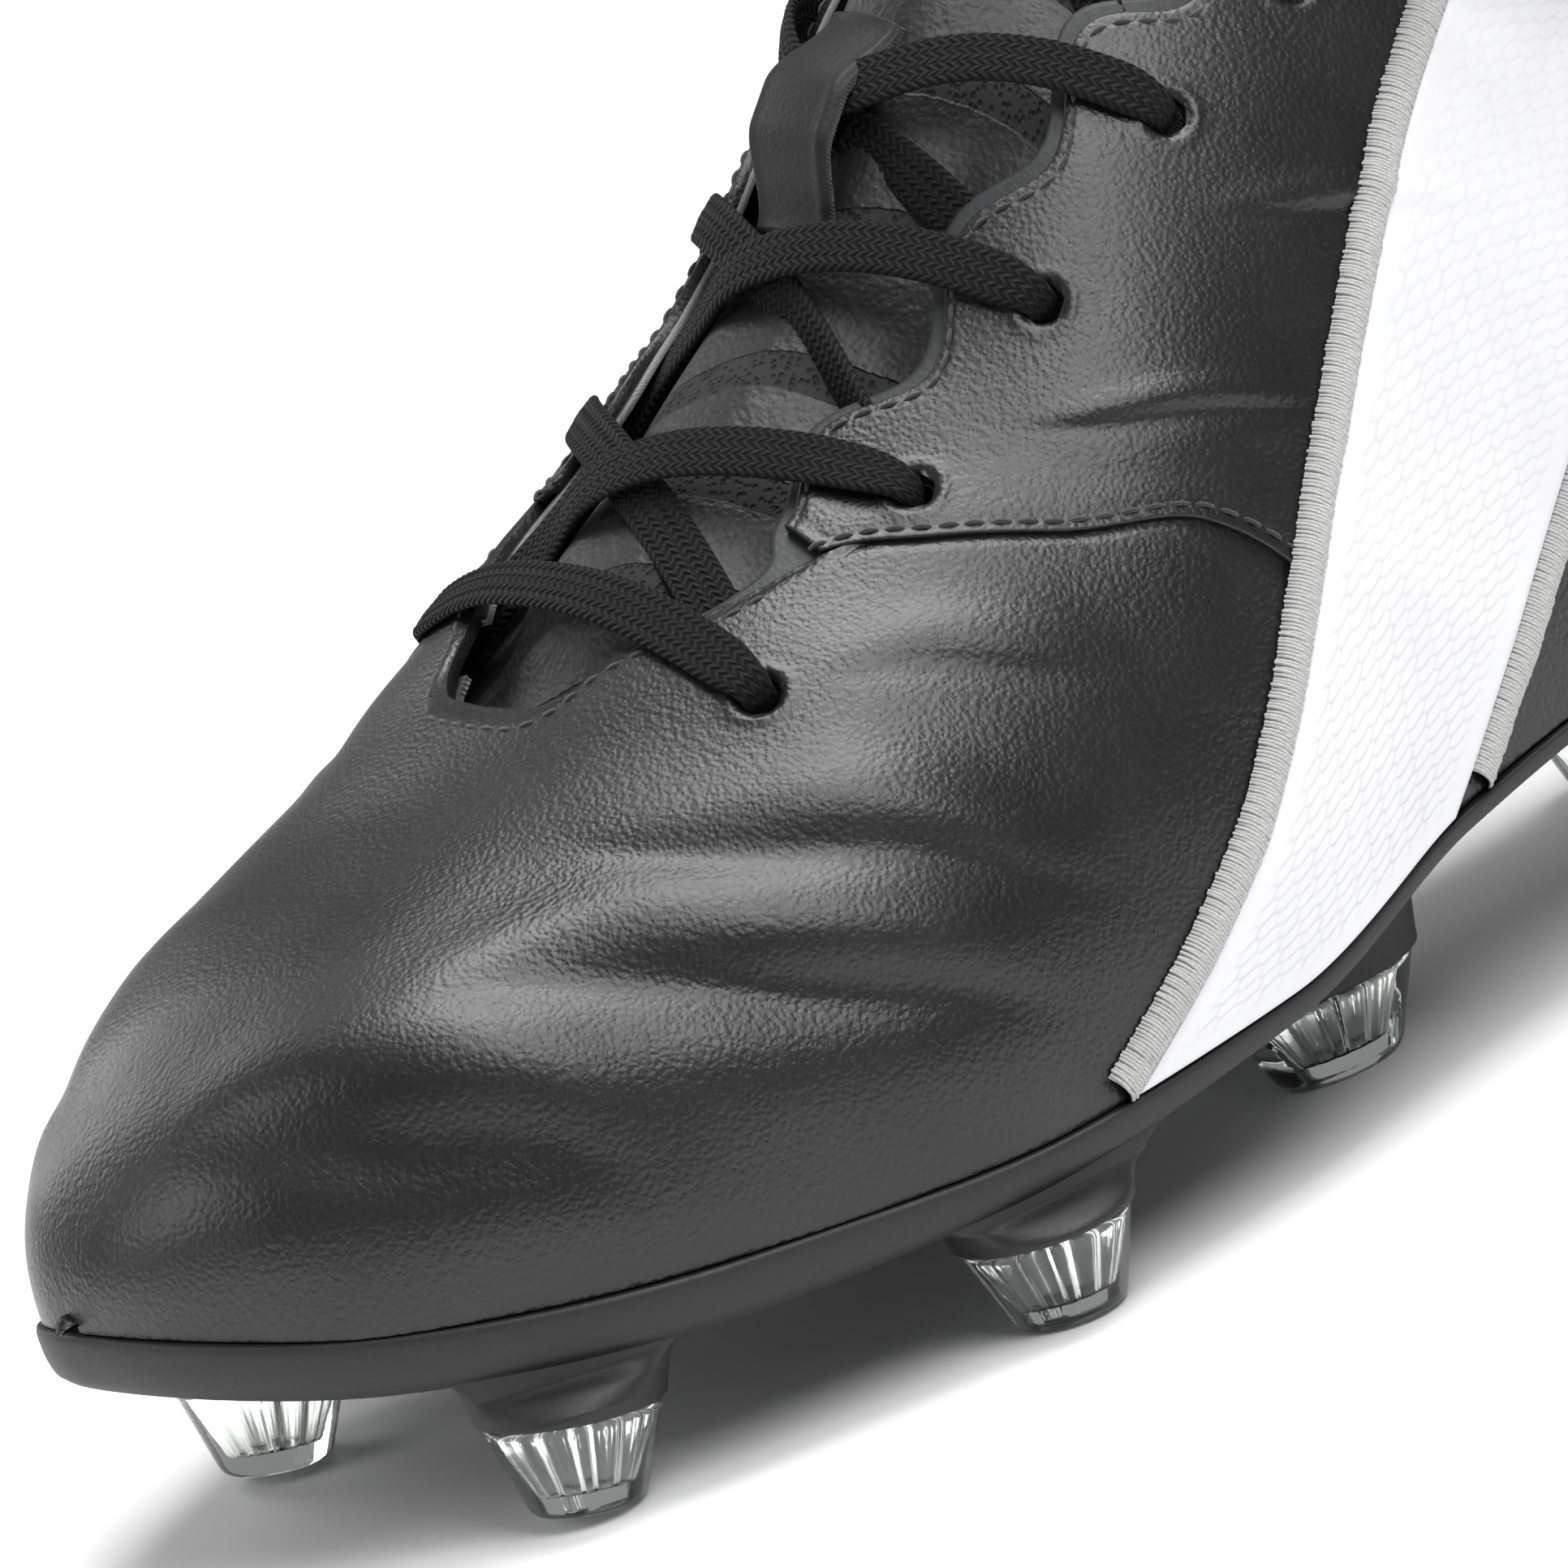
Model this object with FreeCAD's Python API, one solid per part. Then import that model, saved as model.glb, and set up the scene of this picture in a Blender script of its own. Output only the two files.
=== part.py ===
import FreeCAD, Part
import math
import os

# Laced leather football boot, left foot. Millimetres, +Z up, toe towards -Y, outer (lateral) side +X.
# The boot stands on its studs at Z = 0.
#
# The outside of the upper is one smooth surface P(u, v): u runs 0 at the toe tip to 1 at the heel,
# v runs -1 at the inner sole edge, 0 on the crest, +1 at the outer sole edge. Every layer of the
# upper is a patch of that surface moved in or out along its normal.

# ---------------------------------------------------------------- driving dimensions
TOE_Y = -131.1
HEEL_Y = 147.7
ORIGIN_SHIFT = FreeCAD.Vector(-1.7, -8.1, 0.0)   # puts the middle of the boot's box on the Z axis

LEATHER = 1.3             # vamp and quarters
STIFFENER_TOP = -1.5      # toe puff and heel counter lie just inside the leather
STIFFENER = 0.8
LINING_TOP = -2.6
LINING = 0.8
COLLAR_FOAM = 3.4
BAND_LIFT = 0.2           # side band over the leather
BAND = 1.0
STITCH = 1.3              # satin stitch along the band's edges
FACING_TOP = -1.5         # strip under the eyelets
FACING = 0.8
TONGUE_HIGH = -1.8        # tongue between the eyelet rows
TONGUE_LOW = -6.0         # tongue under the eyelet rows
TONGUE_SKIN = 0.9
TONGUE_FOAM = 3.2
TONGUE_CLOTH = 0.8
LAYER_GAP = 0.2
EYELET_RADIUS = 2.2
LACE_RADIUS = 1.2         # round stand-in for the flat lace, same section area
LACE_OVER = 1.9           # lace centre above the leather
LACE_UNDER = -3.9         # lace centre below the eyelet rows
CROSS_LOW = 0.7           # lace centres where two runs cross over the tongue
CROSS_HIGH = 3.4
KEEPER = 0.8              # strap on the tongue that the laces cross under
KEEPER_TOP = 5.9
KEEPER_U = 0.467
KEEPER_HALF_U = 0.020
KEEPER_HALF_V = 0.075
KEEPER_RUN = 2            # the crossing that the strap holds, counted from the toe
KEEPER_PULL = 0.022       # how far the strap holds that crossing towards the toe
KNOT_CENTRE = FreeCAD.Vector(-5.0, 45.5, 142.4)
KNOT_HALF_SIZE = (6.6, 5.6, 4.0)
AGLET_RADIUS = 1.5
AGLET_LENGTH = 18.0
PLATE_EDGE = 0.8          # how far the sole plate stands out past the upper
BOARD_INSET = 4.4
SOCK_INSET = 6.4
SEAM_U = 0.0012           # gap between vamp and quarter, in u
LINING_V = 0.62           # the side lining stops below the eyelets at this v
FOAM_START_U = 0.64
FACING_START_U = 0.345
HEEL_PATCH_U = 0.055
HEEL_PATCH_TOP_V = 0.60
THROAT_LOBE = 0.028
KNOT_U = 0.583
STITCH_U = 0.018

# corners of the slanted side band in (u, v)
BAND_FRONT_LOW = (0.380, 0.998)
BAND_REAR_LOW = (0.500, 0.998)
BAND_FRONT_HIGH = (0.612, 0.555)
BAND_REAR_HIGH = (0.700, 0.660)

STUD_TIP_HEIGHT = 10.0
STUD_TIP_TOP_R = 9.2
STUD_TIP_FOOT_R = 5.7
STUD_BASE_R = 11.2
STUD_RIM = 1.2
STUD_BASE_DEPTH = 1.0     # the cones end this far under the sole edge line, inside the plate
STUD_BASE_LOW = 34.0
STUD_OVAL_WIDTH = 0.92
PLATE_UNDERCUT = 2.4      # the plate's walls slope in by this much
FRONT_STUD_TILT = 9.0

# shape of the boot at ten stations along its length
STATION_Y = [-148, -116, -84, -53, -21, 11, 42, 74, 106, 148]
FEATHER_Z = [35.7, 24.6, 20.5, 18.8, 20.0, 26.5, 29.3, 30.2, 30.6, 30.6]
CENTRE_X = [-12.8, -10.9, -7.0, -3.2, -1.1, 0, 0, 0, 0, 0]
OUTER_WIDTH = [46.3, 47.4, 48.0, 51.7, 48.5, 41.1, 35.9, 34.3, 33.8, 33.8]
INNER_WIDTH = [37.1, 36.1, 43.3, 44.3, 39.0, 31.7, 29.0, 30.6, 32.7, 32.7]
CREST_HEIGHT = [24.1, 32.5, 42.6, 59.1, 75.9, 98.3, 110.0, 114.0, 116.0, 116.0]
CREST_X = [-12.8, -8.4, -8.4, -9.5, -11.1, -10.6, -8.4, -4.2, -1.0, 0]
SIDEWALL = [7.0, 6.9, 6.3, 4.6, 3.2, 2.6, 2.6, 3.2, 3.6, 3.6]

# roundness of the cross-section: bulge past the sole edge, height and width of the curve's handles
SHAPE_Y = [-148, -106, -53, 0, 53, 106, 148]
OUTER_BULGE = [1.6, 3.2, 4.2, 3.2, 1.1, 0, 0]
INNER_BULGE = [1.6, 2.1, 1.1, 1.1, 1.1, 0, 0]
OUTER_RISE = [0.75, 0.72, 0.62, 0.56, 0.6, 0.6, 0.6]
INNER_RISE = [0.8, 0.8, 0.72, 0.62, 0.6, 0.6, 0.6]
OUTER_SHOULDER = [0.62, 0.6, 0.55, 0.58, 0.6, 0.7, 0.7]
INNER_SHOULDER = [0.62, 0.64, 0.66, 0.7, 0.7, 0.7, 0.7]

TOE_ROUND_OUTER = 55.1    # length over which the sides close at the toe
TOE_ROUND_INNER = 62.7
TOE_ROUND_CREST = 35.9
HEEL_ROUND = 35.9

# the throat, where the tongue shows between the two rows of eyelets
THROAT_SHIFT = 0.10       # the inner edge lies nearer the crest than the outer edge by this much in v
EYELET_U = [0.350, 0.414, 0.464, 0.514, 0.561]
EYELET_V = [0.415, 0.405, 0.435, 0.475, 0.495]
THROAT_MIDDLE = THROAT_SHIFT / 2
EYESTAY_END_U = 0.575
TONGUE_START_U = 0.308
TONGUE_END_U = 0.604

BODY_START_U = 0.003      # patches start and end a hair off the two poles of the surface
BODY_END_U = 0.9985

nodes = {}


# ---------------------------------------------------------------- curves through the stations
def smooth_curve(xs, ys):
    """Monotone cubic through the stations, level outside them."""
    n = len(xs)
    steps = [xs[i + 1] - xs[i] for i in range(n - 1)]
    rises = [(ys[i + 1] - ys[i]) / steps[i] for i in range(n - 1)]
    slopes = [rises[0]] + [0.0] * (n - 2) + [rises[-1]]
    for i in range(1, n - 1):
        if rises[i - 1] * rises[i] > 0:
            wa = 2 * steps[i] + steps[i - 1]
            wb = steps[i] + 2 * steps[i - 1]
            slopes[i] = (wa + wb) / (wa / rises[i - 1] + wb / rises[i])

    def value(x):
        if x <= xs[0]:
            return ys[0]
        if x >= xs[-1]:
            return ys[-1]
        i = max(k for k in range(n - 1) if xs[k] <= x)
        t = (x - xs[i]) / steps[i]
        a = (1 + 2 * t) * (1 - t) ** 2 * ys[i] + t * t * (3 - 2 * t) * ys[i + 1]
        b = t * (1 - t) ** 2 * slopes[i] - t * t * (1 - t) * slopes[i + 1]
        return a + b * steps[i]

    return value


feather_z = smooth_curve(STATION_Y, FEATHER_Z)
centre_x = smooth_curve(STATION_Y, CENTRE_X)
outer_width = smooth_curve(STATION_Y, OUTER_WIDTH)
inner_width = smooth_curve(STATION_Y, INNER_WIDTH)
crest_height = smooth_curve(STATION_Y, CREST_HEIGHT)
crest_x = smooth_curve(STATION_Y, CREST_X)
sidewall = smooth_curve(STATION_Y, SIDEWALL)
outer_bulge = smooth_curve(SHAPE_Y, OUTER_BULGE)
inner_bulge = smooth_curve(SHAPE_Y, INNER_BULGE)
outer_rise = smooth_curve(SHAPE_Y, OUTER_RISE)
inner_rise = smooth_curve(SHAPE_Y, INNER_RISE)
outer_shoulder = smooth_curve(SHAPE_Y, OUTER_SHOULDER)
inner_shoulder = smooth_curve(SHAPE_Y, INNER_SHOULDER)


def ease(t):
    t = min(max(t, 0.0), 1.0)
    return t * t * (3 - 2 * t)


def round_end(distance, length):
    """Quarter ellipse: 0 at the end of the boot, 1 once past the given length."""
    t = min(max(1 - distance / length, 0.0), 1.0)
    return math.sqrt(max(0.0, 1 - t * t))


def along(u):
    return (TOE_Y + HEEL_Y) / 2 - (HEEL_Y - TOE_Y) / 2 * math.cos(math.pi * u)


def heel_curve(u, z):
    """How far the back of the heel leans forward at height z."""
    height = z - 30.6
    lean = -8.4 * min(max((height - 23) / 47, 0.0), 2.0) ** 1.6
    tuck = -3.2 * min(max(1 - height / 23, 0.0), 1.0) ** 2
    return ease((u - 0.72) / 0.28) * (lean + tuck)


def half_widths(u):
    y = along(u)
    heel = round_end(HEEL_Y - y, HEEL_ROUND)
    outer = outer_width(y) * round_end(y - TOE_Y, TOE_ROUND_OUTER) * heel
    inner = inner_width(y) * round_end(y - TOE_Y, TOE_ROUND_INNER) * heel
    return outer, inner


def surface(u, v):
    """Point of the outside of the upper."""
    y = along(u)
    heel = round_end(HEEL_Y - y, HEEL_ROUND)
    outer, inner = half_widths(u)
    bottom = feather_z(y)
    height = crest_height(y) * round_end(y - TOE_Y, TOE_ROUND_CREST)
    cx = centre_x(y)
    top_x = cx + (crest_x(y) - cx) * heel
    fullness = round_end(y - TOE_Y, 42.2) * heel
    if v >= 0:
        width, bulge = outer, outer_bulge(y) * fullness
        rise, shoulder = outer_rise(y), outer_shoulder(y)
    else:
        width, bulge = -inner, -inner_bulge(y) * fullness
        rise, shoulder = inner_rise(y), inner_shoulder(y)
    t = 1 - abs(v)
    b0, b1, b2, b3 = (1 - t) ** 3, 3 * t * (1 - t) ** 2, 3 * t * t * (1 - t), t ** 3
    x = b0 * (cx + width) + b1 * (cx + width + bulge) + b2 * (top_x + shoulder * width) + b3 * top_x
    z = bottom + height * (b1 * rise + b2 + b3)
    return FreeCAD.Vector(x, y + heel_curve(u, z), z)


def normal(u, v):
    """Unit normal of the upper, pointing out of the boot."""
    du, dv = 0.002, 0.01
    u0, u1 = max(u - du, 0.001), min(u + du, 0.999)
    v0, v1 = max(v - dv, -1.0), min(v + dv, 1.0)
    across = surface(u, v1).sub(surface(u, v0))
    lengthwise = surface(u1, v).sub(surface(u0, v))
    n = lengthwise.cross(across)
    n.normalize()
    return n.multiply(-1.0)


def lifted(u, v, height):
    return surface(u, v) + normal(u, v).multiply(height)


# ---------------------------------------------------------------- solids from patches
def grid_face(rows):
    sheet = Part.BSplineSurface()
    sheet.interpolate(rows)
    return sheet


def closed_solid(top_rows, bottom_rows):
    """Solid between two grids of points with the same layout."""
    top = grid_face(top_rows)
    bottom = grid_face(bottom_rows)
    faces = [top.toShape(), bottom.toShape()]
    for sheet_iso in ("uIso", "vIso"):
        for end in (0, 1):
            bounds = top.bounds()
            at = bounds[end] if sheet_iso == "uIso" else bounds[2 + end]
            upper = getattr(top, sheet_iso)(at).toShape()
            lower = getattr(bottom, sheet_iso)(at).toShape()
            faces.append(Part.makeRuledSurface(upper, lower))
    shell = Part.makeShell(faces)
    shell.sewShape()
    solid = Part.makeSolid(shell)
    if solid.Volume < 0:
        solid.reverse()
    return solid


def panel(place, top, thickness, rows=24, columns=24):
    """Sheet of the upper. place(a, b) gives (u, v); top is the lift of its outer face."""
    outside, inside = [], []
    for i in range(rows + 1):
        outer_line, inner_line = [], []
        for j in range(columns + 1):
            u, v = place(i / rows, j / columns)
            height = top(u, v) if callable(top) else top
            outer_line.append(lifted(u, v, height))
            inner_line.append(lifted(u, v, height - thickness))
        outside.append(outer_line)
        inside.append(inner_line)
    return closed_solid(outside, inside)


def slab(low, high, inset, start_u=BODY_START_U, end_u=BODY_END_U, low_inset=None):
    """Flat layer over the sole between two lifts above the sole edge line."""
    low_inset = inset if low_inset is None else low_inset

    def grid(lift, edge):
        rows = []
        for i in range(41):
            u = start_u + (end_u - start_u) * i / 40
            outer, inner = half_widths(u)
            y = along(u)
            grow = 1 - edge / 45.0
            y_grow = 1 - edge / 140.0
            middle = (TOE_Y + HEEL_Y) / 2
            line = []
            for j in range(13):
                s = -1 + 2 * j / 12
                width = outer if s > 0 else inner
                x = centre_x(y) + s * width * grow
                z = feather_z(y) + (lift(y) if callable(lift) else lift)
                tucked = middle + (y - middle) * y_grow + heel_curve(u, feather_z(y))
                line.append(FreeCAD.Vector(x, tucked, z))
            rows.append(line)
        return rows

    return closed_solid(grid(high, inset), grid(low, low_inset))


# ---------------------------------------------------------------- outlines on the surface
def throat_edge(u):
    """Outer edge of the throat in v: a lobe round each eyelet, a notch between."""
    base = min(0.295 + 0.90 * (u - 0.413), 0.42)
    return base - THROAT_LOBE * math.cos(2 * math.pi * (u - 0.411) / 0.050)


vamp_back_outer = smooth_curve(
    [0.05, 0.13, 0.18, 0.21, 0.305, 0.325, 0.355, 0.455, 0.555, 0.68, 0.83, 1.0],
    [0.316, 0.318, 0.326, 0.340, 0.365, 0.372, 0.385, 0.408, 0.432, 0.465, 0.487, 0.498])
topline = smooth_curve(
    [0.575, 0.59, 0.615, 0.66, 0.75, 0.85, 0.93, 1.0],
    [0.430, 0.465, 0.530, 0.60, 0.66, 0.63, 0.585, 0.56])
eyelet_line = smooth_curve(EYELET_U, EYELET_V)
low_throat_edge = smooth_curve([0.343, 0.365, 0.388], [0.200, 0.280, 0.295])


def mirrored_v(v):
    """The outer side's v that side_v brings to this v on the inner side."""
    outer = THROAT_MIDDLE + abs(v - THROAT_MIDDLE)
    if v >= THROAT_MIDDLE:
        return outer
    for _ in range(8):
        outer = -v + THROAT_SHIFT * (1 - ease((outer - 0.35) / 0.5))
    return outer


def vamp_back(v):
    """Back edge of the vamp in u."""
    return vamp_back_outer(mirrored_v(v))


def quarter_top(u):
    """Top edge of a quarter in v: along the eyelets, then along the collar."""
    join = ease((u - EYESTAY_END_U + 0.006) / 0.012)
    return throat_edge(u) * (1 - join) + topline(u) * join


def facing_edge(u):
    """Edge of the strip that shows past the leather along the throat."""
    join = ease((u - 0.380) / 0.01)
    return low_throat_edge(u) * (1 - join) + (throat_edge(u) - 0.022) * join


def side_v(side, u, v):
    """v on the outer (+1) or inner (-1) side; the throat is shifted near the crest."""
    if side > 0:
        return v
    near_crest = 1 - ease((v - 0.35) / 0.5)
    before_ankle = 1 - ease((u - 0.60) / 0.15)
    return -(v - THROAT_SHIFT * near_crest * before_ankle)


def four_sided(side, sole_edge, upper_edge, front_edge, rear_edge):
    """Patch between four edges, each a function from 0..1 to (u, v); a runs back, b up."""

    def place(a, b):
        point = []
        for k in (0, 1):
            along_edges = (1 - b) * sole_edge(a)[k] + b * upper_edge(a)[k]
            across_edges = (1 - a) * front_edge(b)[k] + a * rear_edge(b)[k]
            low = (1 - a) * sole_edge(0)[k] + a * sole_edge(1)[k]
            high = (1 - a) * upper_edge(0)[k] + a * upper_edge(1)[k]
            point.append(along_edges + across_edges - (1 - b) * low - b * high)
        return point[0], side_v(side, point[0], point[1])

    return place


def line_edge(start, end):
    return lambda t: (start[0] + t * (end[0] - start[0]), start[1] + t * (end[1] - start[1]))


def quad(side, front_low, rear_low, front_high, rear_high):
    """Patch with four straight edges in (u, v)."""
    return four_sided(side, line_edge(front_low, rear_low), line_edge(front_high, rear_high),
                      line_edge(front_low, front_high), line_edge(rear_low, rear_high))


# ---------------------------------------------------------------- sole
STUDS = {
    # name: (x, y, stretch along the boot, tilt)
    "front_lateral": (26.0, -103.0, 1.0, FRONT_STUD_TILT),
    "front_medial": (-29.5, -105.0, 1.0, FRONT_STUD_TILT),
    "ball_lateral": (42.3, -53.5, 1.0, 0.0),
    "ball_medial": (-35.0, -50.0, 1.0, 0.0),
    "waist_lateral": (17.5, 3.0, 1.3, 0.0),
    "waist_medial": (-17.5, 3.0, 1.3, 0.0),
    "heel_front_lateral": (21.5, 76.0, 1.0, 0.0),
    "heel_front_medial": (-19.0, 76.0, 1.0, 0.0),
    "heel_rear_lateral": (20.0, 118.0, 1.0, 0.0),
    "heel_rear_medial": (-18.0, 118.0, 1.0, 0.0),
}


def set_stud(shape, stud):
    """Stretches, tilts and places a stud piece made on the Z axis with its foot at Z = 0."""
    x, y, stretch, tilt = stud
    if stretch != 1.0:
        matrix = FreeCAD.Matrix()
        matrix.scale(STUD_OVAL_WIDTH, stretch, 1.0)
        shape = shape.transformGeometry(matrix)
    shape.rotate(FreeCAD.Vector(0, 0, 0), FreeCAD.Vector(1, 0, 0), -tilt)
    lift = (STUD_TIP_FOOT_R - 0.85 * STUD_RIM) * math.sin(math.radians(tilt))
    shape.translate(FreeCAD.Vector(x, y, lift))
    return shape


def stud_tip(stud):
    """Clear cone with a rounded foot."""
    slope = (STUD_TIP_TOP_R - STUD_TIP_FOOT_R) / STUD_TIP_HEIGHT
    flat = FreeCAD.Vector(STUD_TIP_FOOT_R - STUD_RIM, 0, 0)
    corner = FreeCAD.Vector(STUD_TIP_FOOT_R - 0.25 * STUD_RIM, 0, 0.3 * STUD_RIM)
    side = FreeCAD.Vector(STUD_TIP_FOOT_R + slope * STUD_RIM, 0, STUD_RIM)
    top = FreeCAD.Vector(STUD_TIP_TOP_R, 0, STUD_TIP_HEIGHT)
    axis_top = FreeCAD.Vector(0, 0, STUD_TIP_HEIGHT)
    axis_foot = FreeCAD.Vector(0, 0, 0)
    edges = [
        Part.LineSegment(axis_foot, flat).toShape(),
        Part.Arc(flat, corner, side).toShape(),
        Part.LineSegment(side, top).toShape(),
        Part.LineSegment(top, axis_top).toShape(),
        Part.LineSegment(axis_top, axis_foot).toShape(),
    ]
    face = Part.Face(Part.Wire(edges))
    turned = face.revolve(axis_foot, FreeCAD.Vector(0, 0, 1), 360)
    return set_stud(turned, stud)


def stud_base(stud):
    """Black cone between the plate and the clear tip."""
    reach = feather_z(stud[1]) - STUD_TIP_HEIGHT
    foot = FreeCAD.Vector(0, 0, STUD_TIP_HEIGHT)
    return set_stud(Part.makeCone(STUD_TIP_TOP_R, STUD_BASE_R, reach, foot), stud)


def make_sole():
    plate = slab(lambda y: -sidewall(y), -LAYER_GAP, -PLATE_EDGE, low_inset=PLATE_UNDERCUT)
    below_top = slab(-STUD_BASE_LOW, -STUD_BASE_DEPTH, -PLATE_EDGE)
    for stud in STUDS.values():
        plate = plate.fuse(stud_base(stud).common(below_top))
    nodes["outsole_plate"] = plate.removeSplitter()
    for name, stud in STUDS.items():
        nodes["stud_tip_" + name] = stud_tip(stud)
    nodes["insole_board"] = slab(0.2, 1.6, BOARD_INSET)
    nodes["sockliner_foam"] = slab(2.0, 5.0, SOCK_INSET)
    nodes["sockliner_cover"] = slab(5.0, 5.8, SOCK_INSET)


# ---------------------------------------------------------------- upper
def lining_lift(u, v):
    """The lining dips inward under the collar foam."""
    below_top = abs(v) - topline(u)
    under_foam = ease((u - 0.60) / 0.04) * (1 - ease((below_top - 0.10) / 0.12))
    return LINING_TOP - (COLLAR_FOAM - 0.9) * under_foam


def tongue_lift(u, v):
    """The tongue stands up between the eyelet rows and dips under them."""
    side = ease((abs(v - THROAT_MIDDLE) - 0.05) / 0.17)
    raised = ease((u - 0.325) / 0.03)
    return TONGUE_LOW + (TONGUE_HIGH - TONGUE_LOW) * raised * (1 - side)


def vamp_place(a, b):
    v = -1 + 2 * b
    return BODY_START_U + a * (vamp_back(v) - BODY_START_U), v


def vamp_lining_place(a, b):
    """The lining stops short of the first eyelets."""
    v = (-1 + 2 * b) * 0.995
    back = vamp_back(v) - 0.002
    by_eyelets = 1 - ease((abs(v - THROAT_MIDDLE) - 0.44) / 0.12)
    back -= by_eyelets * max(back - 0.330, 0.0)
    return 0.012 + a * (back - 0.012), v


def toe_puff_place(a, b):
    v = (-1 + 2 * b) * 0.96
    return 0.012 + a * (0.188 - 0.05 * v * v), v


def tongue_place(a, b):
    u = TONGUE_START_U + a * (TONGUE_END_U - TONGUE_START_U)
    half = 0.25 + 0.10 * ease((u - TONGUE_START_U) / 0.10)
    across = 2 * b - 1
    round_off = 0.014 * ease((a - 0.8) / 0.2) * across ** 4
    return u - round_off, THROAT_MIDDLE + half * across


def quarter_place(side):
    u_low, u_high = vamp_back_outer(1.0) + SEAM_U, vamp_back_outer(0.36) + SEAM_U

    def upper_edge(a):
        u = u_high + a * (BODY_END_U - u_high)
        return u, quarter_top(u)

    def front_edge(b):
        v = 1.0 + b * (quarter_top(u_high) - 1.0)
        return vamp_back_outer(max(v, 0.36)) + SEAM_U, v

    rear_edge = line_edge((BODY_END_U, 1.0), (BODY_END_U, quarter_top(1.0)))
    sole_edge = line_edge((u_low, 1.0), (BODY_END_U, 1.0))
    return four_sided(side, sole_edge, upper_edge, front_edge, rear_edge)


def lining_place(side):
    front_low, front_high = vamp_back_outer(1.0) + 0.004, vamp_back_outer(LINING_V) + 0.004

    def upper_edge(a):
        u = front_high + a * (BODY_END_U - front_high)
        join = ease((u - EYESTAY_END_U) / 0.03)
        return u, LINING_V + (topline(u) + 0.004 - LINING_V) * join

    def front_edge(b):
        v = 0.99 + b * (LINING_V - 0.99)
        return vamp_back_outer(v) + 0.004, v

    rear_edge = line_edge((BODY_END_U, 0.99), (BODY_END_U, topline(1.0) + 0.004))
    sole_edge = line_edge((front_low, 0.99), (BODY_END_U, 0.99))
    return four_sided(side, sole_edge, upper_edge, front_edge, rear_edge)


def foam_place(side):
    def upper_edge(a):
        u = FOAM_START_U + a * (BODY_END_U - FOAM_START_U)
        return u, topline(u) + 0.012

    def sole_edge(a):
        u, v = upper_edge(a)
        return u, v + 0.10

    front_edge = line_edge(sole_edge(0), upper_edge(0))
    rear_edge = line_edge(sole_edge(1), upper_edge(1))
    return four_sided(side, sole_edge, upper_edge, front_edge, rear_edge)


def facing_place(side):
    def upper_edge(a):
        u = FACING_START_U + a * (EYESTAY_END_U - 0.004 - FACING_START_U)
        return u, facing_edge(u)

    def sole_edge(a):
        u = upper_edge(a)[0]
        return u, eyelet_line(u) + 0.05

    front_edge = line_edge(sole_edge(0), upper_edge(0))
    rear_edge = line_edge(sole_edge(1), upper_edge(1))
    return four_sided(side, sole_edge, upper_edge, front_edge, rear_edge)


def heel_place(a, b):
    """Patch wrapped round the back of the heel; a runs from the inner to the outer side."""
    across = 2 * a - 1
    v = 0.99 + b * (HEEL_PATCH_TOP_V - 0.99)
    u = 1 - abs(across) * (HEEL_PATCH_U + 0.03 * (1 - b))
    return min(u, 0.99995), v if across >= 0 else -v


def counter_place(side):
    return quad(side, (0.80, 0.985), (BODY_END_U, 0.985), (0.86, 0.77), (BODY_END_U, 0.75))


def stitch_place(side, low, high, direction):
    """Strip beside one edge of the side band."""
    near, far = direction * 0.001, direction * STITCH_U
    inner, outer = (far, near) if direction < 0 else (near, far)
    return quad(side, (low[0] + inner, low[1]), (low[0] + outer, low[1]),
                (high[0] + inner, high[1]), (high[0] + outer, high[1]))


def eyelet_cutter(u, v):
    start = lifted(u, v, 3.0)
    return Part.makeCylinder(EYELET_RADIUS, 7.5, start, normal(u, v).multiply(-1.0))


def make_upper():
    nodes["vamp"] = panel(vamp_place, 0.0, LEATHER, 30, 64)
    nodes["vamp_lining"] = panel(vamp_lining_place, LINING_TOP, LINING, 26, 48)
    nodes["toe_puff"] = panel(toe_puff_place, STIFFENER_TOP, STIFFENER, 18, 30)
    nodes["heel_patch"] = panel(heel_place, BAND_LIFT + BAND, BAND, 24, 20)
    for side, word in ((1, "lateral"), (-1, "medial")):
        quarter = panel(quarter_place(side), 0.0, LEATHER, 96, 24)
        facing = panel(facing_place(side), FACING_TOP, FACING, 64, 8)
        for u, v in zip(EYELET_U, EYELET_V):
            cutter = eyelet_cutter(u, side_v(side, u, v))
            facing = facing.cut(cutter)
            if u < 0.38:
                nodes["vamp"] = nodes["vamp"].cut(cutter)
            else:
                quarter = quarter.cut(cutter)
        nodes["quarter_" + word] = quarter
        nodes["eyelet_facing_" + word] = facing
        nodes["collar_lining_" + word] = panel(lining_place(side), lining_lift, LINING, 44, 20)
        nodes["collar_foam_" + word] = panel(foam_place(side), STIFFENER_TOP, COLLAR_FOAM - 0.8, 30, 8)
        nodes["heel_counter_" + word] = panel(counter_place(side), STIFFENER_TOP, STIFFENER, 16, 10)
        band = quad(side, BAND_FRONT_LOW, BAND_REAR_LOW, BAND_FRONT_HIGH, BAND_REAR_HIGH)
        nodes["side_band_" + word] = panel(band, BAND_LIFT + BAND, BAND, 12, 24)
        strips = []
        for low, high, direction in ((BAND_FRONT_LOW, BAND_FRONT_HIGH, -1), (BAND_REAR_LOW, BAND_REAR_HIGH, 1)):
            strips.append(panel(stitch_place(side, low, high, direction), BAND_LIFT + STITCH, STITCH, 4, 30))
        nodes["band_stitching_" + word] = Part.makeCompound(strips)


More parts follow.
